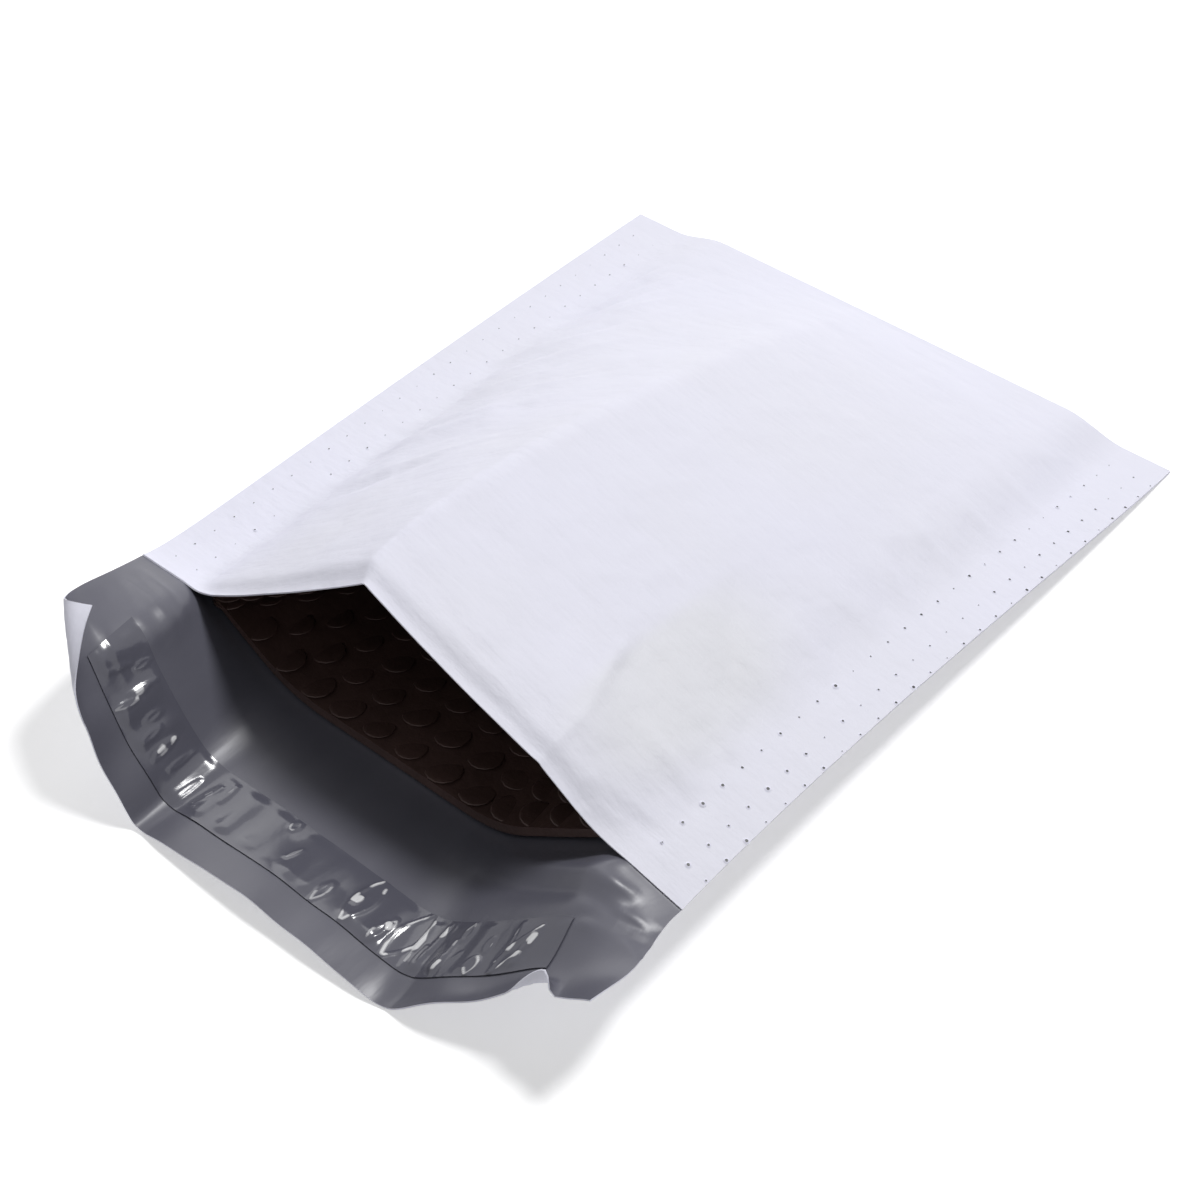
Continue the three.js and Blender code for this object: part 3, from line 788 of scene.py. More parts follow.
class NodeTree:
    """A tree with one geometry input and output and named number inputs."""

    def __init__(self, name, sizes):
        self.tree = bpy.data.node_groups.new(name, "GeometryNodeTree")
        face = self.tree.interface
        face.new_socket("Geometry", in_out="INPUT", socket_type="NodeSocketGeometry")
        face.new_socket("Geometry", in_out="OUTPUT", socket_type="NodeSocketGeometry")
        self.names = {}
        for label in sizes:
            socket = face.new_socket(label, in_out="INPUT", socket_type="NodeSocketFloat")
            self.names[label] = socket.identifier
        self.start = self.node("NodeGroupInput")
        self.end = self.node("NodeGroupOutput")

    def node(self, kind, **settings):
        made = self.tree.nodes.new(kind)
        for key, value in settings.items():
            setattr(made, key, value)
        return made

    def link(self, output, target):
        self.tree.links.new(output, target)

    def finish(self, geometry, material):
        """Realizes the instances, sets their material and joins them to the output."""
        realize = self.node("GeometryNodeRealizeInstances")
        dress = self.node("GeometryNodeSetMaterial")
        dress.inputs["Material"].default_value = material
        self.link(geometry, realize.inputs["Geometry"])
        self.link(realize.outputs["Geometry"], dress.inputs["Geometry"])
        self.link(dress.outputs["Geometry"], self.end.inputs["Geometry"])

    def face_out(self, instance):
        """Turns the instances so that they stand along the points' own normal attribute."""
        normal = self.node("GeometryNodeInputNamedAttribute", data_type="FLOAT_VECTOR")
        normal.inputs["Name"].default_value = "stand"
        turn = self.node("FunctionNodeAlignRotationToVector", axis="Z")
        self.link(normal.outputs["Attribute"], turn.inputs["Vector"])
        self.link(turn.outputs["Rotation"], instance.inputs["Rotation"])

    def random_scale(self, instance, scales, seed):
        """Scales the instances by the points' own strength times a share drawn from a range."""
        value = self.node("FunctionNodeRandomValue", data_type="FLOAT")
        ends = [s for s in value.inputs if s.type == "VALUE" and s.name in ("Min", "Max")]
        for end, scale in zip(ends, scales):
            end.default_value = scale
        value.inputs["Seed"].default_value = seed
        strength = self.node("GeometryNodeInputNamedAttribute", data_type="FLOAT")
        strength.inputs["Name"].default_value = "strength"
        scale = self.node("ShaderNodeMath", operation="MULTIPLY")
        self.link(next(s for s in value.outputs if s.type == "VALUE"), scale.inputs[0])
        self.link(strength.outputs["Attribute"], scale.inputs[1])
        self.link(scale.outputs["Value"], instance.inputs["Scale"])

    def apply(self, piece, values):
        """Runs the tree on a piece, and leaves the result as its plain mesh."""
        modifier = piece.modifiers.new("made", "NODES")
        modifier.node_group = self.tree
        for label, value in values.items():
            modifier[self.names[label]] = value
        bpy.context.view_layer.update()
        evaluated = piece.evaluated_get(bpy.context.evaluated_depsgraph_get())
        mesh = bpy.data.meshes.new_from_object(evaluated)
        piece.modifiers.remove(modifier)
        piece.data = mesh
        if not mesh.polygons:
            raise RuntimeError(f"{piece.name} has no faces")


def bubble_tree(material):
    """Low round domes on points, each standing along its point's own direction."""
    tree = NodeTree("bubbles", ("Radius", "Height"))
    dome = tree.node("GeometryNodeMeshUVSphere")
    dome.inputs["Segments"].default_value = BUBBLE_SEGMENTS
    dome.inputs["Rings"].default_value = BUBBLE_RINGS
    dome.inputs["Radius"].default_value = 1.0
    squash = tree.node("ShaderNodeCombineXYZ")
    tree.link(tree.start.outputs["Radius"], squash.inputs["X"])
    tree.link(tree.start.outputs["Radius"], squash.inputs["Y"])
    tree.link(tree.start.outputs["Height"], squash.inputs["Z"])
    shape = tree.node("GeometryNodeTransform")
    tree.link(dome.outputs["Mesh"], shape.inputs["Geometry"])
    tree.link(squash.outputs["Vector"], shape.inputs["Scale"])
    smoothed = tree.node("GeometryNodeSetShadeSmooth")
    tree.link(shape.outputs["Geometry"], smoothed.inputs["Geometry"])
    spread = tree.node("GeometryNodeInstanceOnPoints")
    tree.link(tree.start.outputs["Geometry"], spread.inputs["Points"])
    tree.link(smoothed.outputs["Geometry"], spread.inputs["Instance"])
    tree.face_out(spread)
    tree.random_scale(spread, BUBBLE_SCALES, BUBBLE_SEED)
    tree.finish(spread.outputs["Instances"], material)
    return tree


def prick_tree(material):
    """Small burrs whose top face is painted dark for the shade of a hole, at an even pitch along lines."""
    tree = NodeTree("pricks", ("Pitch", "Hole", "Burr", "Height"))
    line = tree.node("GeometryNodeMeshToCurve")
    tree.link(tree.start.outputs["Geometry"], line.inputs["Mesh"])
    spaced = tree.node("GeometryNodeResampleCurve", mode="LENGTH")
    tree.link(line.outputs["Curve"], spaced.inputs["Curve"])
    tree.link(tree.start.outputs["Pitch"], spaced.inputs["Length"])
    burr = tree.node("GeometryNodeMeshCone")
    burr.inputs["Vertices"].default_value = PRICK_SIDES
    tree.link(tree.start.outputs["Hole"], burr.inputs["Radius Top"])
    tree.link(tree.start.outputs["Burr"], burr.inputs["Radius Bottom"])
    tree.link(tree.start.outputs["Height"], burr.inputs["Depth"])
    # Marks the top face, which is painted dark as the shade inside the hole.
    hole = tree.node("GeometryNodeStoreNamedAttribute", data_type="FLOAT", domain="FACE")
    hole.inputs["Name"].default_value = "hole"
    tree.link(burr.outputs["Mesh"], hole.inputs["Geometry"])
    tree.link(burr.outputs["Top"], hole.inputs["Value"])
    spread = tree.node("GeometryNodeInstanceOnPoints")
    tree.link(spaced.outputs["Curve"], spread.inputs["Points"])
    tree.link(hole.outputs["Geometry"], spread.inputs["Instance"])
    tree.face_out(spread)
    tree.random_scale(spread, PRICK_SCALES, PRICK_SEED)
    tree.finish(spread.outputs["Instances"], material)
    return tree


def point_piece(name, points, standing, strength, edges=()):
    """An object of points and lines that carries each point's direction and strength."""
    mesh = bpy.data.meshes.new(name)
    mesh.from_pydata(np.asarray(points).tolist(), list(edges), [])
    attribute = mesh.attributes.new("stand", "FLOAT_VECTOR", "POINT")
    attribute.data.foreach_set("vector", np.asarray(standing, dtype=np.float32).ravel())
    piece = bpy.data.objects.new(name, mesh)
    point_values(piece, "strength", strength)
    bpy.context.scene.collection.objects.link(piece)
    return piece


# Settings

def length_setting(name, description, default):
    return FloatProperty(name=name, description=description, default=default, min=0.0, precision=5,
                         unit="LENGTH", subtype="DISTANCE")


def colour_setting(name, description, default):
    return FloatVectorProperty(name=name, description=description, default=default, size=3,
                               min=0.0, max=1.0, subtype="COLOR")


def count_setting(name, description, default):
    return IntProperty(name=name, description=description, default=default, min=1)


def power_setting(name, description, default):
    return FloatProperty(name=name, description=description, default=default, min=0.0, unit="POWER")


def angle_setting(name, description, degrees):
    return FloatProperty(name=name, description=description, default=math.radians(degrees),
                         subtype="ANGLE", unit="ROTATION")


def strength_setting(name, description, default):
    return FloatProperty(name=name, description=description, default=default, min=0.0)


class FilmSettings(bpy.types.PropertyGroup):
    width: length_setting("Width", "Width of the flat bag", CAD_HIGH.x - CAD_LOW.x)
    depth: length_setting("Depth", "Depth of the bag from the mouth line to the bottom fold", 212 * MM)
    lip: length_setting("Lip", "Length of the closing lip past the mouth line", 47 * MM)
    weld: length_setting("Weld", "Width of each side weld", 14 * MM)
    thickness: length_setting("Thickness", "Thickness of the film as shown", 0.38 * MM)
    layer: length_setting("Layer", "Room that one layer of film takes up in a weld", 0.4 * MM)
    columns: count_setting("Columns", "Steps of the film's mesh across the bag", 184)
    lip_rows: count_setting("Lip rows", "Steps of the film's mesh along the lip", 36)
    bag_rows: count_setting("Bag rows", "Steps of the film's mesh along each wall", 140)
    outer_colour: colour_setting("Outer colour", "Colour of the film's outer face", (0.79, 0.79, 0.90))
    inner_colour: colour_setting("Inner colour", "Colour of the film's inner face", (0.118, 0.118, 0.148))


class LiningSettings(bpy.types.PropertyGroup):
    thickness: length_setting("Thickness", "Thickness of each padded wall", 2.8 * MM)
    setback: length_setting("Setback", "Distance of the lining's front edge from the mouth line", 4 * MM)
    edge: length_setting("Edge", "Distance of the lining's side edges from the welds", 6 * MM)
    step: length_setting("Step", "Step of the lining's mesh", 3 * MM)
    bubble_pitch: length_setting("Bubble pitch", "Distance between bubbles", BUBBLE_PITCH)
    bubble_radius: length_setting("Bubble radius", "Radius of one bubble", 4.6 * MM)
    bubble_height: length_setting("Bubble height", "Height of one bubble over the lining", 0.3 * MM)
    colour: colour_setting("Colour", "Colour of the bubble film", (0.078, 0.046, 0.040))


class StripSettings(bpy.types.PropertyGroup):
    near: length_setting("Near edge", "Distance of the strip's near edge from the mouth line", 22 * MM)
    far: length_setting("Far edge", "Distance of the strip's far edge from the mouth line", 38 * MM)
    left: length_setting("Left reach", "Reach of the strip to the left of the middle line", 78 * MM)
    right: length_setting("Right reach", "Reach of the strip to the right of the middle line", 74 * MM)
    thickness: length_setting("Thickness", "Thickness of the strip", 0.1 * MM)
    pitch: length_setting("Ripple pitch", "Usual distance between cross ripples", 10.5 * MM)
    glue_inset: length_setting("Glue inset", "Distance of the glue's edges from the strip's edges", 2 * MM)
    strip_colour: colour_setting("Strip colour", "Colour of the strip on the film", (0.110, 0.110, 0.140))
    glue_colour: colour_setting("Glue colour", "Colour of the glue", (0.14, 0.14, 0.16))


class PrickSettings(bpy.types.PropertyGroup):
    pitch: length_setting("Pitch", "Distance between pricks along a weld", 7 * MM)
    outer_row: length_setting("Outer row", "Distance of the outer row from the bag's edge", 5.8 * MM)
    inner_row: length_setting("Inner row", "Distance of the inner row from the bag's edge", 13.3 * MM)
    hole: length_setting("Hole", "Radius of one hole", 0.36 * MM)
    burr: length_setting("Burr", "Radius of the burr round a hole", 0.8 * MM)
    height: length_setting("Height", "Height of the burr", 0.22 * MM)


class StageSettings(bpy.types.PropertyGroup):
    floor_colour: colour_setting("Floor colour", "Colour of the floor", (0.9, 0.9, 0.9))
    glow: strength_setting("Glow", "Light that the floor shows of its own", 0.42)
    key: power_setting("Key light", "Power of the key light", 15.6)
    fill: power_setting("Fill light", "Power of the fill light", 5.5)
    sky: strength_setting("Sky", "Strength of the light from all round", 0.22)
    azimuth: angle_setting("Azimuth", "The camera's turn round the object", 38.80)
    elevation: angle_setting("Elevation", "The camera's angle above the floor", 47.58)
    distance: length_setting("Distance", "Distance of the camera from the point it looks at", 525.03 * MM)
    lens: FloatProperty(name="Lens", description="Focal length", default=60.99, unit="CAMERA")


class MailerSettings(bpy.types.PropertyGroup):
    film: PointerProperty(type=FilmSettings)
    lining: PointerProperty(type=LiningSettings)
    strip: PointerProperty(type=StripSettings)
    pricks: PointerProperty(type=PrickSettings)
    stage: PointerProperty(type=StageSettings)


# Pieces

class MAILER_OT_film(bpy.types.Operator):
    """Makes the film: one sheet folded at the bottom and welded at both sides, with its lip"""

    bl_idname = "mailer.film"
    bl_label = "Film"

    seen_depth = 36 * MM
    hidden_step = 4
    # Place, reach and side edge of the patch of painted shade beside the crease
    shade_place = (54 * MM, 44 * MM)
    shade_reach = (20 * MM, 34 * MM)
    shade_full = 1 / 2
    shade_gone = 4 / 3
    shade_side = 5 * MM

    def execute(self, context):
        film = context.scene.mailer.film
        form = FilmForm(film)
        lower_height = LOWER_LAYER * form.layer + lower_wrinkles(form)
        lower = form.lower + grid_normals(form.lower) * lower_height[..., None]
        lower = curl_edge(form, turn_corner(form, lower))
        lower = lower[self.kept_rows(form)]
        upper_height = UPPER_LAYER * form.layer + upper_wrinkles(form)
        upper = form.upper + grid_normals(form.upper) * upper_height[..., None]
        fold = self.fold_lines(lower[-1], upper[-1])
        middle = np.concatenate([lower, fold, upper[::-1]])
        inward = grid_normals(middle) * film.thickness / 2
        points, inner, outer, rim = thick_sheet(middle + inward, middle - inward)
        faces = np.concatenate([inner, outer, rim])
        flat = self.flat_places(form, middle)
        materials = [white_film(film.outer_colour), grey_film(film.inner_colour)]
        face_materials = np.concatenate([np.ones(len(inner)), np.zeros(len(outer) + len(rim))])
        piece = mesh_piece("film", points, faces, materials, face_materials, np.concatenate([flat, flat]))
        self.add_painted_shade(form, piece, len(lower) + len(fold))
        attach(piece, BODY)
        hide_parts("outer_film")
        return {"FINISHED"}

    def kept_rows(self, form):
        """Rows of the lower wall: all of those that show at the mouth, and a few of the rest."""
        seen = form.mouth_row + int(self.seen_depth / form.depth * (len(form.bag_rows) - 1))
        return [*range(seen), *range(seen, len(form.rows) - 1, self.hidden_step), len(form.rows) - 1]

    def fold_lines(self, low, high):
        """Half-round lines between the ends of the two walls, without the ends themselves."""
        middle = (low + high) / 2
        half = (high - low) / 2
        lines = []
        for step in range(1, FOLD_STEPS):
            angle = math.pi * step / FOLD_STEPS
            line = middle - half * math.cos(angle)
            line[:, 1] += np.linalg.norm(half, axis=-1) * math.sin(angle)
            lines.append(line)
        return np.array(lines)

    def add_painted_shade(self, form, piece, before_upper):
        """Marks the patch of painted shade, slightly darker and warmer, on the upper wall beside its
        crease.
        """
        aside = (form.across - self.shade_place[0]) / self.shade_reach[0]
        ahead = (form.bag_rows[:, None] - self.shade_place[1]) / self.shade_reach[1]
        patch = smooth((self.shade_gone - np.hypot(aside, ahead)) / (self.shade_gone - self.shade_full))
        patch = patch * smooth((form.across - CREASE_PLACE + CREASE_JOG) / self.shade_side)
        sheet = np.concatenate([np.zeros((before_upper, len(form.columns))), patch[::-1]]).ravel()
        point_values(piece, "painted_shade", np.concatenate([sheet, sheet]))

    def flat_places(self, form, middle):
        """Place across and along the flat film of every point of the sheet."""
        steps = np.linalg.norm(np.diff(middle, axis=0), axis=-1).mean(axis=1)
        along = np.concatenate([[0], np.cumsum(steps)])
        across, along = np.meshgrid(form.columns, along)
        return np.stack([across.ravel(), along.ravel()], axis=-1)


class MAILER_OT_lining(bpy.types.Operator):
    """Makes the padded lining: two walls round the pouch, and the bubbles on their inner faces"""

    bl_idname = "mailer.lining"
    bl_label = "Bubble lining"

    end_gap = 5 * MM
    cavity_edge = 8 * MM
    cavity_end_gap = 9 * MM
    clearance = 1.1 * MM
    wall_share = 0.42
    last_bubble_gap = 31.5 * MM
    least_length = 1e-6
    slack = 1e-9

    def execute(self, context):
        settings = context.scene.mailer
        self.lining = settings.lining
        self.form = FilmForm(settings.film)
        material = lining_film(self.lining.colour)
        pouch = self.pouch(material)
        bubbles = self.bubbles(material)
        for piece in (pouch, bubbles):
            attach(piece, BODY)
        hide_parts("bubble_lining")
        return {"FINISHED"}

    def floor(self, across, along):
        return self.form.on_lower(across, along, self.form.layer + self.clearance)

    def roof(self, across, along):
        return self.form.on_upper(across, along, self.form.layer - self.clearance)

    def cavity(self, across, along, outer, other):
        """The pouch's inner face, which meets the other wall's at the sides and at the bottom."""
        start = outer(across, along)
        way = other(across, along) - start
        length = np.linalg.norm(way, axis=-1, keepdims=True)
        wall = np.minimum(self.lining.thickness / np.maximum(length, self.least_length), self.wall_share)
        cavity_line = self.form.weld_line - self.cavity_edge - self.slack
        cavity_end = self.form.depth - self.cavity_end_gap - self.slack
        rim = (np.abs(across) >= cavity_line) | (along >= cavity_end)
        return start + way * np.where(rim[..., None], 0.5, wall)

    def pouch(self, material):
        form = self.form
        side = form.weld_line - self.lining.edge
        columns = np.linspace(-side, side, int(2 * side / self.lining.step) + 1)
        rows = np.linspace(self.lining.setback, form.depth - self.end_gap,
                           int((form.depth - self.end_gap) / self.lining.step) + 1)
        across, along = np.meshgrid(columns, rows)
        outer_low = self.floor(across, along)
        outer_high = self.roof(across, along)
        inner_low = self.cavity(across, along, self.floor, self.roof)
        inner_high = self.cavity(across, along, self.roof, self.floor)
        lower = thick_sheet(inner_low, outer_low)
        upper = thick_sheet(outer_high, inner_high)
        points = np.concatenate([lower[0], upper[0]])
        faces = np.concatenate([*lower[1:], *(part + len(lower[0]) for part in upper[1:])])
        return mesh_piece("lining", points, faces, [material])

    def bubbles(self, material):
        form = self.form
        pitch = self.lining.bubble_pitch
        side = form.weld_line - self.cavity_edge - self.lining.bubble_radius
        last = form.depth - self.cavity_end_gap - self.last_bubble_gap
        places = []
        row = 0
        along = self.lining.setback + self.lining.bubble_radius
        while along < last:
            offset = (row % 2) * pitch / 2
            across = np.arange(-side + offset, side, pitch)
            places.append(np.stack([across, np.full(len(across), along)], axis=-1))
            along += pitch * math.sqrt(3) / 2
            row += 1
        places = np.concatenate(places)
        across, along = places[:, 0], places[:, 1]
        low = self.cavity(across, along, self.floor, self.roof)
        high = self.cavity(across, along, self.roof, self.floor)
        up = unit(high - low)
        piece = point_piece("lining_bubbles", np.concatenate([low, high]), np.concatenate([up, -up]),
                            np.ones(2 * len(places)))
        values = {"Radius": self.lining.bubble_radius, "Height": self.lining.bubble_height}
        bubble_tree(material).apply(piece, values)
        return piece


class MAILER_OT_strip(bpy.types.Operator):
    """Makes the glue band on the lip and the clear rippled strip that covers it"""

    bl_idname = "mailer.strip"
    bl_label = "Glue and release strip"

    seed = 21
    glue_height = 0.06 * MM
    glue_thickness = 0.1 * MM
    glue_step = 1.0 * MM
    strip_height = 0.22 * MM
    strip_step = 0.32 * MM
    row_stretch = 1.6
    # Cross ripples, which are held down at the strip's two long edges
    first_ripple = 4 * MM
    ripple_width = (2.2 * MM, 3.4 * MM)
    ripple_height_to_width = (0.18, 0.34)
    ripple_slant = (-0.15, 0.15)
    ripple_near_share = (0.15, 0.5)
    ripple_pitches = (0.75, 1.2)
    held_near = 0.15
    held_far = 0.2
    waves = 0.04 * MM
    wave_length = 14 * MM
    # Rims of blisters, which carry painted highlights in places
    bead_width = 0.6 * MM
    blister_lift = 0.35
    glint_height = 0.27 * MM
    glint_base = 0.55
    glint_change = 0.75
    glint_length = 5 * MM
    # Small streaks between the blisters, in millimetres on the flat lip
    streaks = 26
    streak_place = (-72.54, 70.3)
    streak_near = (22.5, 31.0)
    streak_length = (3.0, 11.0)
    streak_furthest = 37.6
    streak_tilt = (-0.1, 0.3)
    streak_half_width = (0.2, 0.7)
    streak_height = (0.12, 0.22)
    # Blisters of trapped air, in millimetres: place across, tilt, near end, far end, half width, rim height
    blisters = (
        (18.0, 0.05, 21.0, 37.6, 2.4, 0.28),
        (33.5, 0.22, 21.0, 37.6, 3.0, 0.30),
        (40.5, 0.10, 22.0, 26.5, 1.0, 0.22),
        (44.5, 0.15, 31.5, 36.5, 0.9, 0.22),
        (47.0, 0.10, 22.5, 28.0, 0.9, 0.20),
        (54.0, 0.00, 32.0, 37.8, 1.4, 0.28),
        (55.0, 0.00, 26.5, 31.5, 0.7, 0.20),
        (67.5, 0.60, 24.5, 37.8, 2.1, 0.30),
        (26.0, 0.15, 30.0, 37.5, 1.0, 0.24),
        (9.0, 0.10, 30.0, 37.5, 1.0, 0.22),
        (-9.0, 0.20, 22.2, 26.0, 0.9, 0.24),
    )

    def execute(self, context):
        settings = context.scene.mailer
        self.strip = settings.strip
        self.form = FilmForm(settings.film)
        self.base = LOWER_LAYER * self.form.layer + settings.film.thickness / 2
        self.wrinkles = lower_wrinkles(self.form)[..., None]
        band = self.glue_band()
        strip = self.release_strip()
        pieces = ((band, "adhesive_band", "adhesive"), (strip, "release_liner", "release_liner"))
        for piece, node, slot in pieces:
            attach(piece, BODY)
            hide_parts(node)
        return {"FINISHED"}

    def glue_band(self):
        """The glue, level over the film and a little inside the strip's edges."""
        inset = self.strip.glue_inset
        across, along = self.places(inset, 2 * inset, self.glue_step)
        return self.laid("glue_band", across, along, self.glue_height, self.glue_thickness,
                         glue(self.strip.glue_colour))

    def release_strip(self):
        """The rippled strip, with the share of painted highlight along its blister rims."""
        across, along = self.places(0.0, 0.0, self.strip_step)
        raised = self.strip_height + self.ripples(across, along)
        piece = self.laid("release_strip", across, along, raised, self.strip.thickness,
                          clear_strip(self.strip.strip_colour))
        # Painted highlights along the blister rims, kept on the points for the strip's colour.
        painted_glint = self.painted_glint_share(across, along).ravel()
        point_values(piece, "painted_glint", np.concatenate([painted_glint, painted_glint]))
        return piece

    def places(self, side_inset, end_inset, step):
        """Grid of flat places over the strip, less an inset at its long sides and at its ends."""
        left = -self.strip.left + end_inset
        right = self.strip.right - end_inset
        near = self.strip.near + side_inset
        far = self.strip.far - side_inset
        columns = np.linspace(left, right, int((right - left) / step) + 1)
        rows = np.linspace(-far, -near, int((far - near) / (self.row_stretch * step)) + 1)
        return np.meshgrid(columns, rows)

    def laid(self, name, across, along, raised, thickness, material):
        """A closed layer on the lip's inner face, raised over the film's own wrinkles."""
        over = sample(self.wrinkles, self.form.row_place(along), self.form.column_place(across))[..., 0]
        low = self.form.on_lower(across, along, self.base + over + raised)
        high = self.form.on_lower(across, along, self.base + over + raised + thickness)
        points, inner, outer, rim = thick_sheet(high, low)
        flat = np.stack([across.ravel(), along.ravel()], axis=-1)
        return mesh_piece(name, points, np.concatenate([inner, outer, rim]), [material],
                          flat_places=np.concatenate([flat, flat]))

    def ripples(self, across, along):
        """Height of the strip's cross ripples and of the beaded rims of its blisters."""
        random = np.random.default_rng(self.seed)
        outwards = clamp01((-along - self.strip.near) / (self.strip.far - self.strip.near))
        held = smooth(outwards / self.held_near) * smooth((1 - outwards) / self.held_far)
        total = np.zeros(across.shape)
        place = -self.strip.left + self.first_ripple
        while place < self.strip.right:
            width = random.uniform(*self.ripple_width)
            height = width * random.uniform(*self.ripple_height_to_width)
            line = place + random.uniform(*self.ripple_slant) * (along + self.strip.near)
            grows = mix(random.uniform(*self.ripple_near_share), 1.0, outwards) * held
            total += height * grows * np.exp(-(((across - line) / width) ** 2))
            place += self.strip.pitch * random.uniform(*self.ripple_pitches)
        total += self.waves * soft_noise(across, along, self.wave_length, self.seed + 1)
        return np.maximum(total + self.blister_rims(across, along), 0)

    def blister_rims(self, across, along):
        """Height of the rims of all blisters and of the small streaks between them."""
        random = np.random.default_rng(self.seed + 2)
        total = sum(self.blister_rim(across, along, *blister) for blister in self.blisters)
        for _ in range(self.streaks):
            place = random.uniform(*self.streak_place)
            near = random.uniform(*self.streak_near)
            far = min(near + random.uniform(*self.streak_length), self.streak_furthest)
            tilt = random.uniform(*self.streak_tilt)
            half_width = random.uniform(*self.streak_half_width)
            height = random.uniform(*self.streak_height)
            total = total + self.blister_rim(across, along, place, tilt, near, far, half_width, height)
        return total

    def painted_glint_share(self, across, along):
        """Share of painted highlight along the rims, broken up so that no rim shows all the way round."""
        patches = soft_noise(across, along, self.glint_length, self.seed + 3)
        share = clamp01(self.glint_base + self.glint_change * patches)
        return share * self.blister_rims(across, along) / self.glint_height

    def blister_rim(self, across, along, place, tilt, near, far, half_width, height):
        """A raised bead round a lens-shaped blister that is pointed at both ends."""
        out = -along / MM
        share = (out - near) / (far - near)
        bow = half_width * np.sin(math.pi * clamp01(share))
        offset = across / MM - (place - tilt * (out - near))
        inside = (share > 0) & (share < 1)
        width = self.bead_width / MM
        sides = np.exp(-(((np.abs(offset) - bow) / width) ** 2))
        lifted = self.blister_lift * smooth((bow - np.abs(offset)) / (2 * width))
        return np.where(inside, height * MM * (sides + lifted), 0.0)


class MAILER_OT_pricks(bpy.types.Operator):
    """Makes the two rows of small pricks along each side weld"""

    bl_idname = "mailer.pricks"
    bl_label = "Weld pricks"

    end_gap = 9 * MM
    line_step = 2 * MM
    nick_inset = 0.7 * MM
    left_strength = 0.6

    def execute(self, context):
        settings = context.scene.mailer
        pricks = settings.pricks
        form = FilmForm(settings.film)
        along = np.arange(self.end_gap, form.depth - self.end_gap, self.line_step)
        top = UPPER_LAYER * form.layer + settings.film.thickness / 2
        insets = (pricks.outer_row, pricks.inner_row)
        rows = [side * (form.half - inset) for side in (-1, 1) for inset in insets]
        points, standing, strength, edges = [], [], [], []
        for place in (*rows, form.half - self.nick_inset):
            across = np.full(len(along), place)
            line = form.on_upper(across, along, top)
            first = len(points)
            points.extend(line)
            standing.extend(unit(form.on_upper(across, along, top + MM) - line))
            strength.extend([self.left_strength if place < 0 else 1.0] * len(along))
            edges.extend((first + k, first + k + 1) for k in range(len(along) - 1))
        material = pricked_film(settings.film.outer_colour)
        piece = point_piece("weld_pricks", points, standing, strength, edges)
        values = {
            "Pitch": pricks.pitch,
            "Hole": pricks.hole,
            "Burr": pricks.burr,
            "Height": pricks.height,
        }
        prick_tree(material).apply(piece, values)
        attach(piece, BODY)
        return {"FINISHED"}


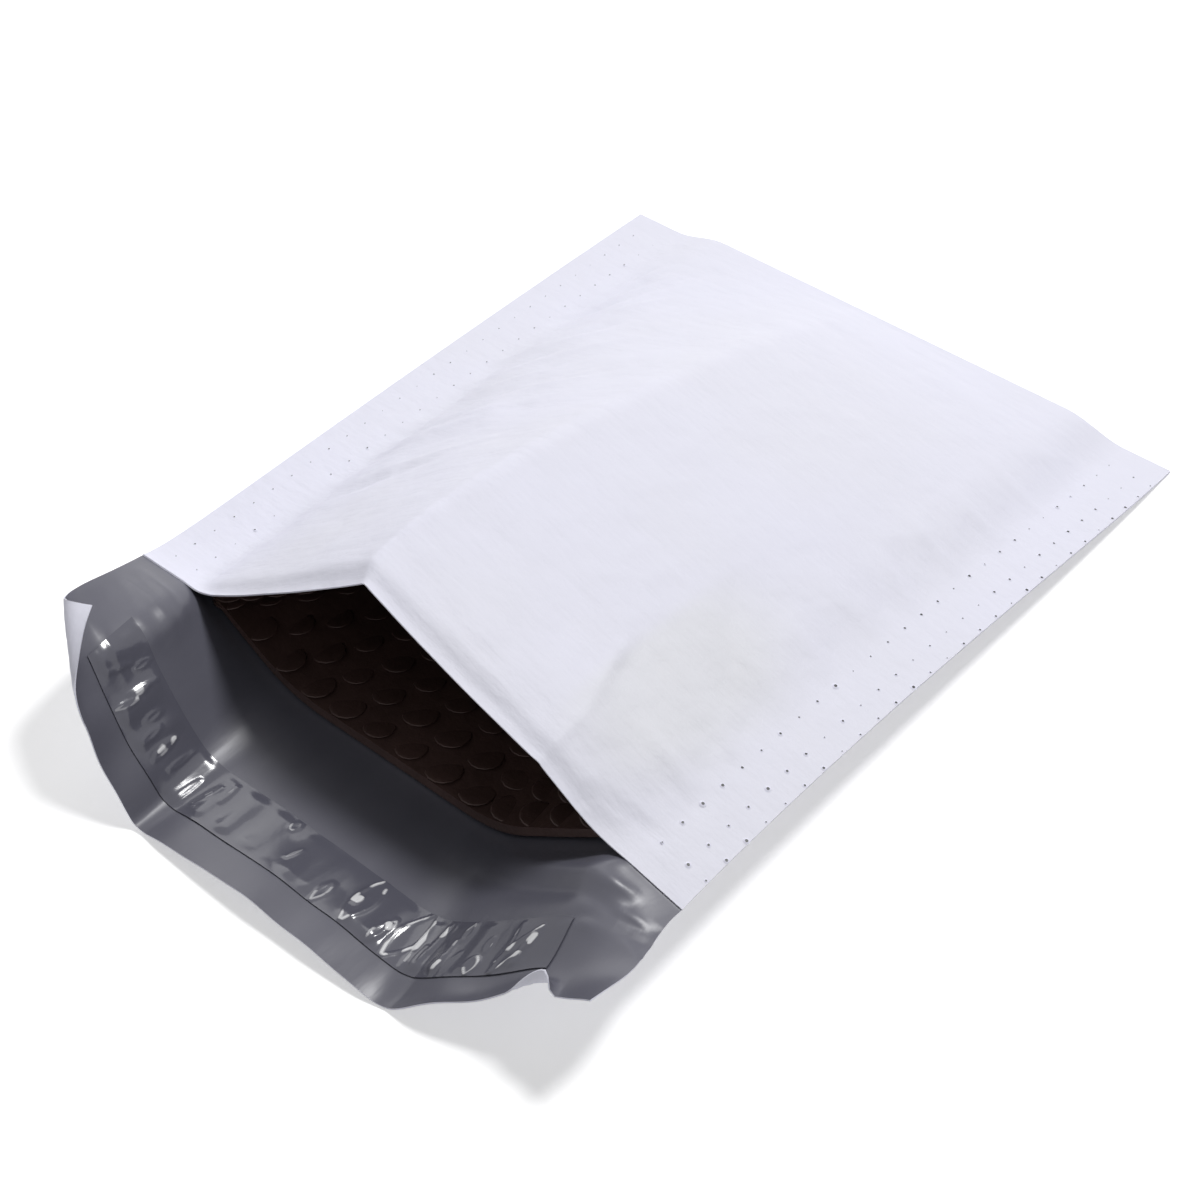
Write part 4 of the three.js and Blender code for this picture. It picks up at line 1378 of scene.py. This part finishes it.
class MAILER_OT_stage(bpy.types.Operator):
    """Makes the floor, the lights, the world and the camera"""

    bl_idname = "mailer.stage"
    bl_label = "Stage"

    floor_half = 0.8
    floor_drop = 0.2 * MM
    key_way = (0.18, 0.36, 0.915)
    key_distance = 1.6
    key_size = 0.32
    fill_way = (-0.70, 0.45, 0.55)
    fill_distance = 1.4
    fill_size = 1.2
    look_at = (-0.117 * MM, -4.965 * MM, 0.0)
    sensor_width = 36.0
    nearest_seen = 10 * MM

    def execute(self, context):
        stage = context.scene.mailer.stage
        scene = context.scene
        scene.view_settings.view_transform = "Standard"
        self.make_floor(stage)
        self.make_world(scene, stage)
        self.make_light("key", self.key_way, self.key_distance, self.key_size, stage.key)
        self.make_light("fill", self.fill_way, self.fill_distance, self.fill_size, stage.fill)
        self.make_camera(scene, stage)
        return {"FINISHED"}

    def seen_directly(self, nodes, links):
        """One where a surface is seen by the camera, in a reflection or through something clear."""
        path = nodes.new("ShaderNodeLightPath")
        seen = path.outputs["Is Camera Ray"]
        for name in ("Is Glossy Ray", "Is Transmission Ray"):
            either = nodes.new("ShaderNodeMath")
            either.operation = "MAXIMUM"
            links.new(seen, either.inputs[0])
            links.new(path.outputs[name], either.inputs[1])
            seen = either.outputs["Value"]
        return seen

    def make_floor(self, stage):
        half = self.floor_half
        corners = [(-half, -half), (half, -half), (half, half), (-half, half)]
        mesh = bpy.data.meshes.new("floor")
        mesh.from_pydata([(x, y, -self.floor_drop) for x, y in corners], [], [(0, 1, 2, 3)])
        finish = Finish("floor", roughness=0.9)
        finish.shader.inputs["Base Color"].default_value = (*stage.floor_colour, 1.0)
        finish.shader.inputs["Emission Color"].default_value = (*WHITE, 1.0)
        glow = finish.nodes.new("ShaderNodeMath")
        glow.operation = "MULTIPLY"
        glow.inputs[1].default_value = stage.glow
        finish.links.new(self.seen_directly(finish.nodes, finish.links), glow.inputs[0])
        finish.links.new(glow.outputs["Value"], finish.shader.inputs["Emission Strength"])
        mesh.materials.append(finish.material)
        floor = bpy.data.objects.new("floor", mesh)
        bpy.context.scene.collection.objects.link(floor)

    def make_world(self, scene, stage):
        world = bpy.data.worlds.new("studio")
        world.use_nodes = True
        scene.world = world
        nodes = world.node_tree.nodes
        links = world.node_tree.links
        background = nodes["Background"]
        background.inputs["Color"].default_value = (*WHITE, 1.0)
        level = nodes.new("ShaderNodeMapRange")
        level.inputs["To Min"].default_value = stage.sky
        level.inputs["To Max"].default_value = 1.0
        links.new(self.seen_directly(nodes, links), level.inputs["Value"])
        links.new(level.outputs["Result"], background.inputs["Strength"])

    def make_light(self, name, way, distance, width, power):
        light = bpy.data.lights.new(name, "AREA")
        light.shape = "DISK"
        light.size = width
        light.energy = power
        lamp = bpy.data.objects.new(name, light)
        direction = Vector(way).normalized()
        lamp.location = direction * distance
        lamp.rotation_euler = direction.to_track_quat("Z", "Y").to_euler()
        bpy.context.scene.collection.objects.link(lamp)

    def make_camera(self, scene, stage):
        camera = bpy.data.cameras.new("camera")
        camera.lens = stage.lens
        camera.sensor_width = self.sensor_width
        camera.clip_start = self.nearest_seen
        viewer = bpy.data.objects.new("camera", camera)
        level = math.cos(stage.elevation)
        back = Vector((math.sin(stage.azimuth) * level, -math.cos(stage.azimuth) * level,
                       math.sin(stage.elevation)))
        viewer.location = Vector(self.look_at) + back * stage.distance
        viewer.rotation_euler = back.to_track_quat("Z", "Y").to_euler()
        scene.collection.objects.link(viewer)
        scene.camera = viewer


class MAILER_PT_sidebar(bpy.types.Panel):
    """Lists the pieces of the mailer"""

    bl_idname = "MAILER_PT_sidebar"
    bl_label = "Padded film mailer"
    bl_space_type = "VIEW_3D"
    bl_region_type = "UI"
    bl_category = "Mailer"

    def draw(self, context):
        for operator in OPERATORS:
            self.layout.operator(operator.bl_idname)


OPERATORS = (MAILER_OT_film, MAILER_OT_lining, MAILER_OT_strip, MAILER_OT_pricks, MAILER_OT_stage)
SETTINGS = (FilmSettings, LiningSettings, StripSettings, PrickSettings, StageSettings, MailerSettings)
CLASSES = (*SETTINGS, *OPERATORS, MAILER_PT_sidebar)


def register():
    for made in CLASSES:
        bpy.utils.register_class(made)
    bpy.types.Scene.mailer = PointerProperty(type=MailerSettings)


def unregister():
    del bpy.types.Scene.mailer
    for made in reversed(CLASSES):
        bpy.utils.unregister_class(made)


def main():
    register()
    bpy.ops.mailer.film()
    bpy.ops.mailer.lining()
    bpy.ops.mailer.strip()
    bpy.ops.mailer.pricks()
    bpy.ops.mailer.stage()


if __name__ == "__main__":
    main()
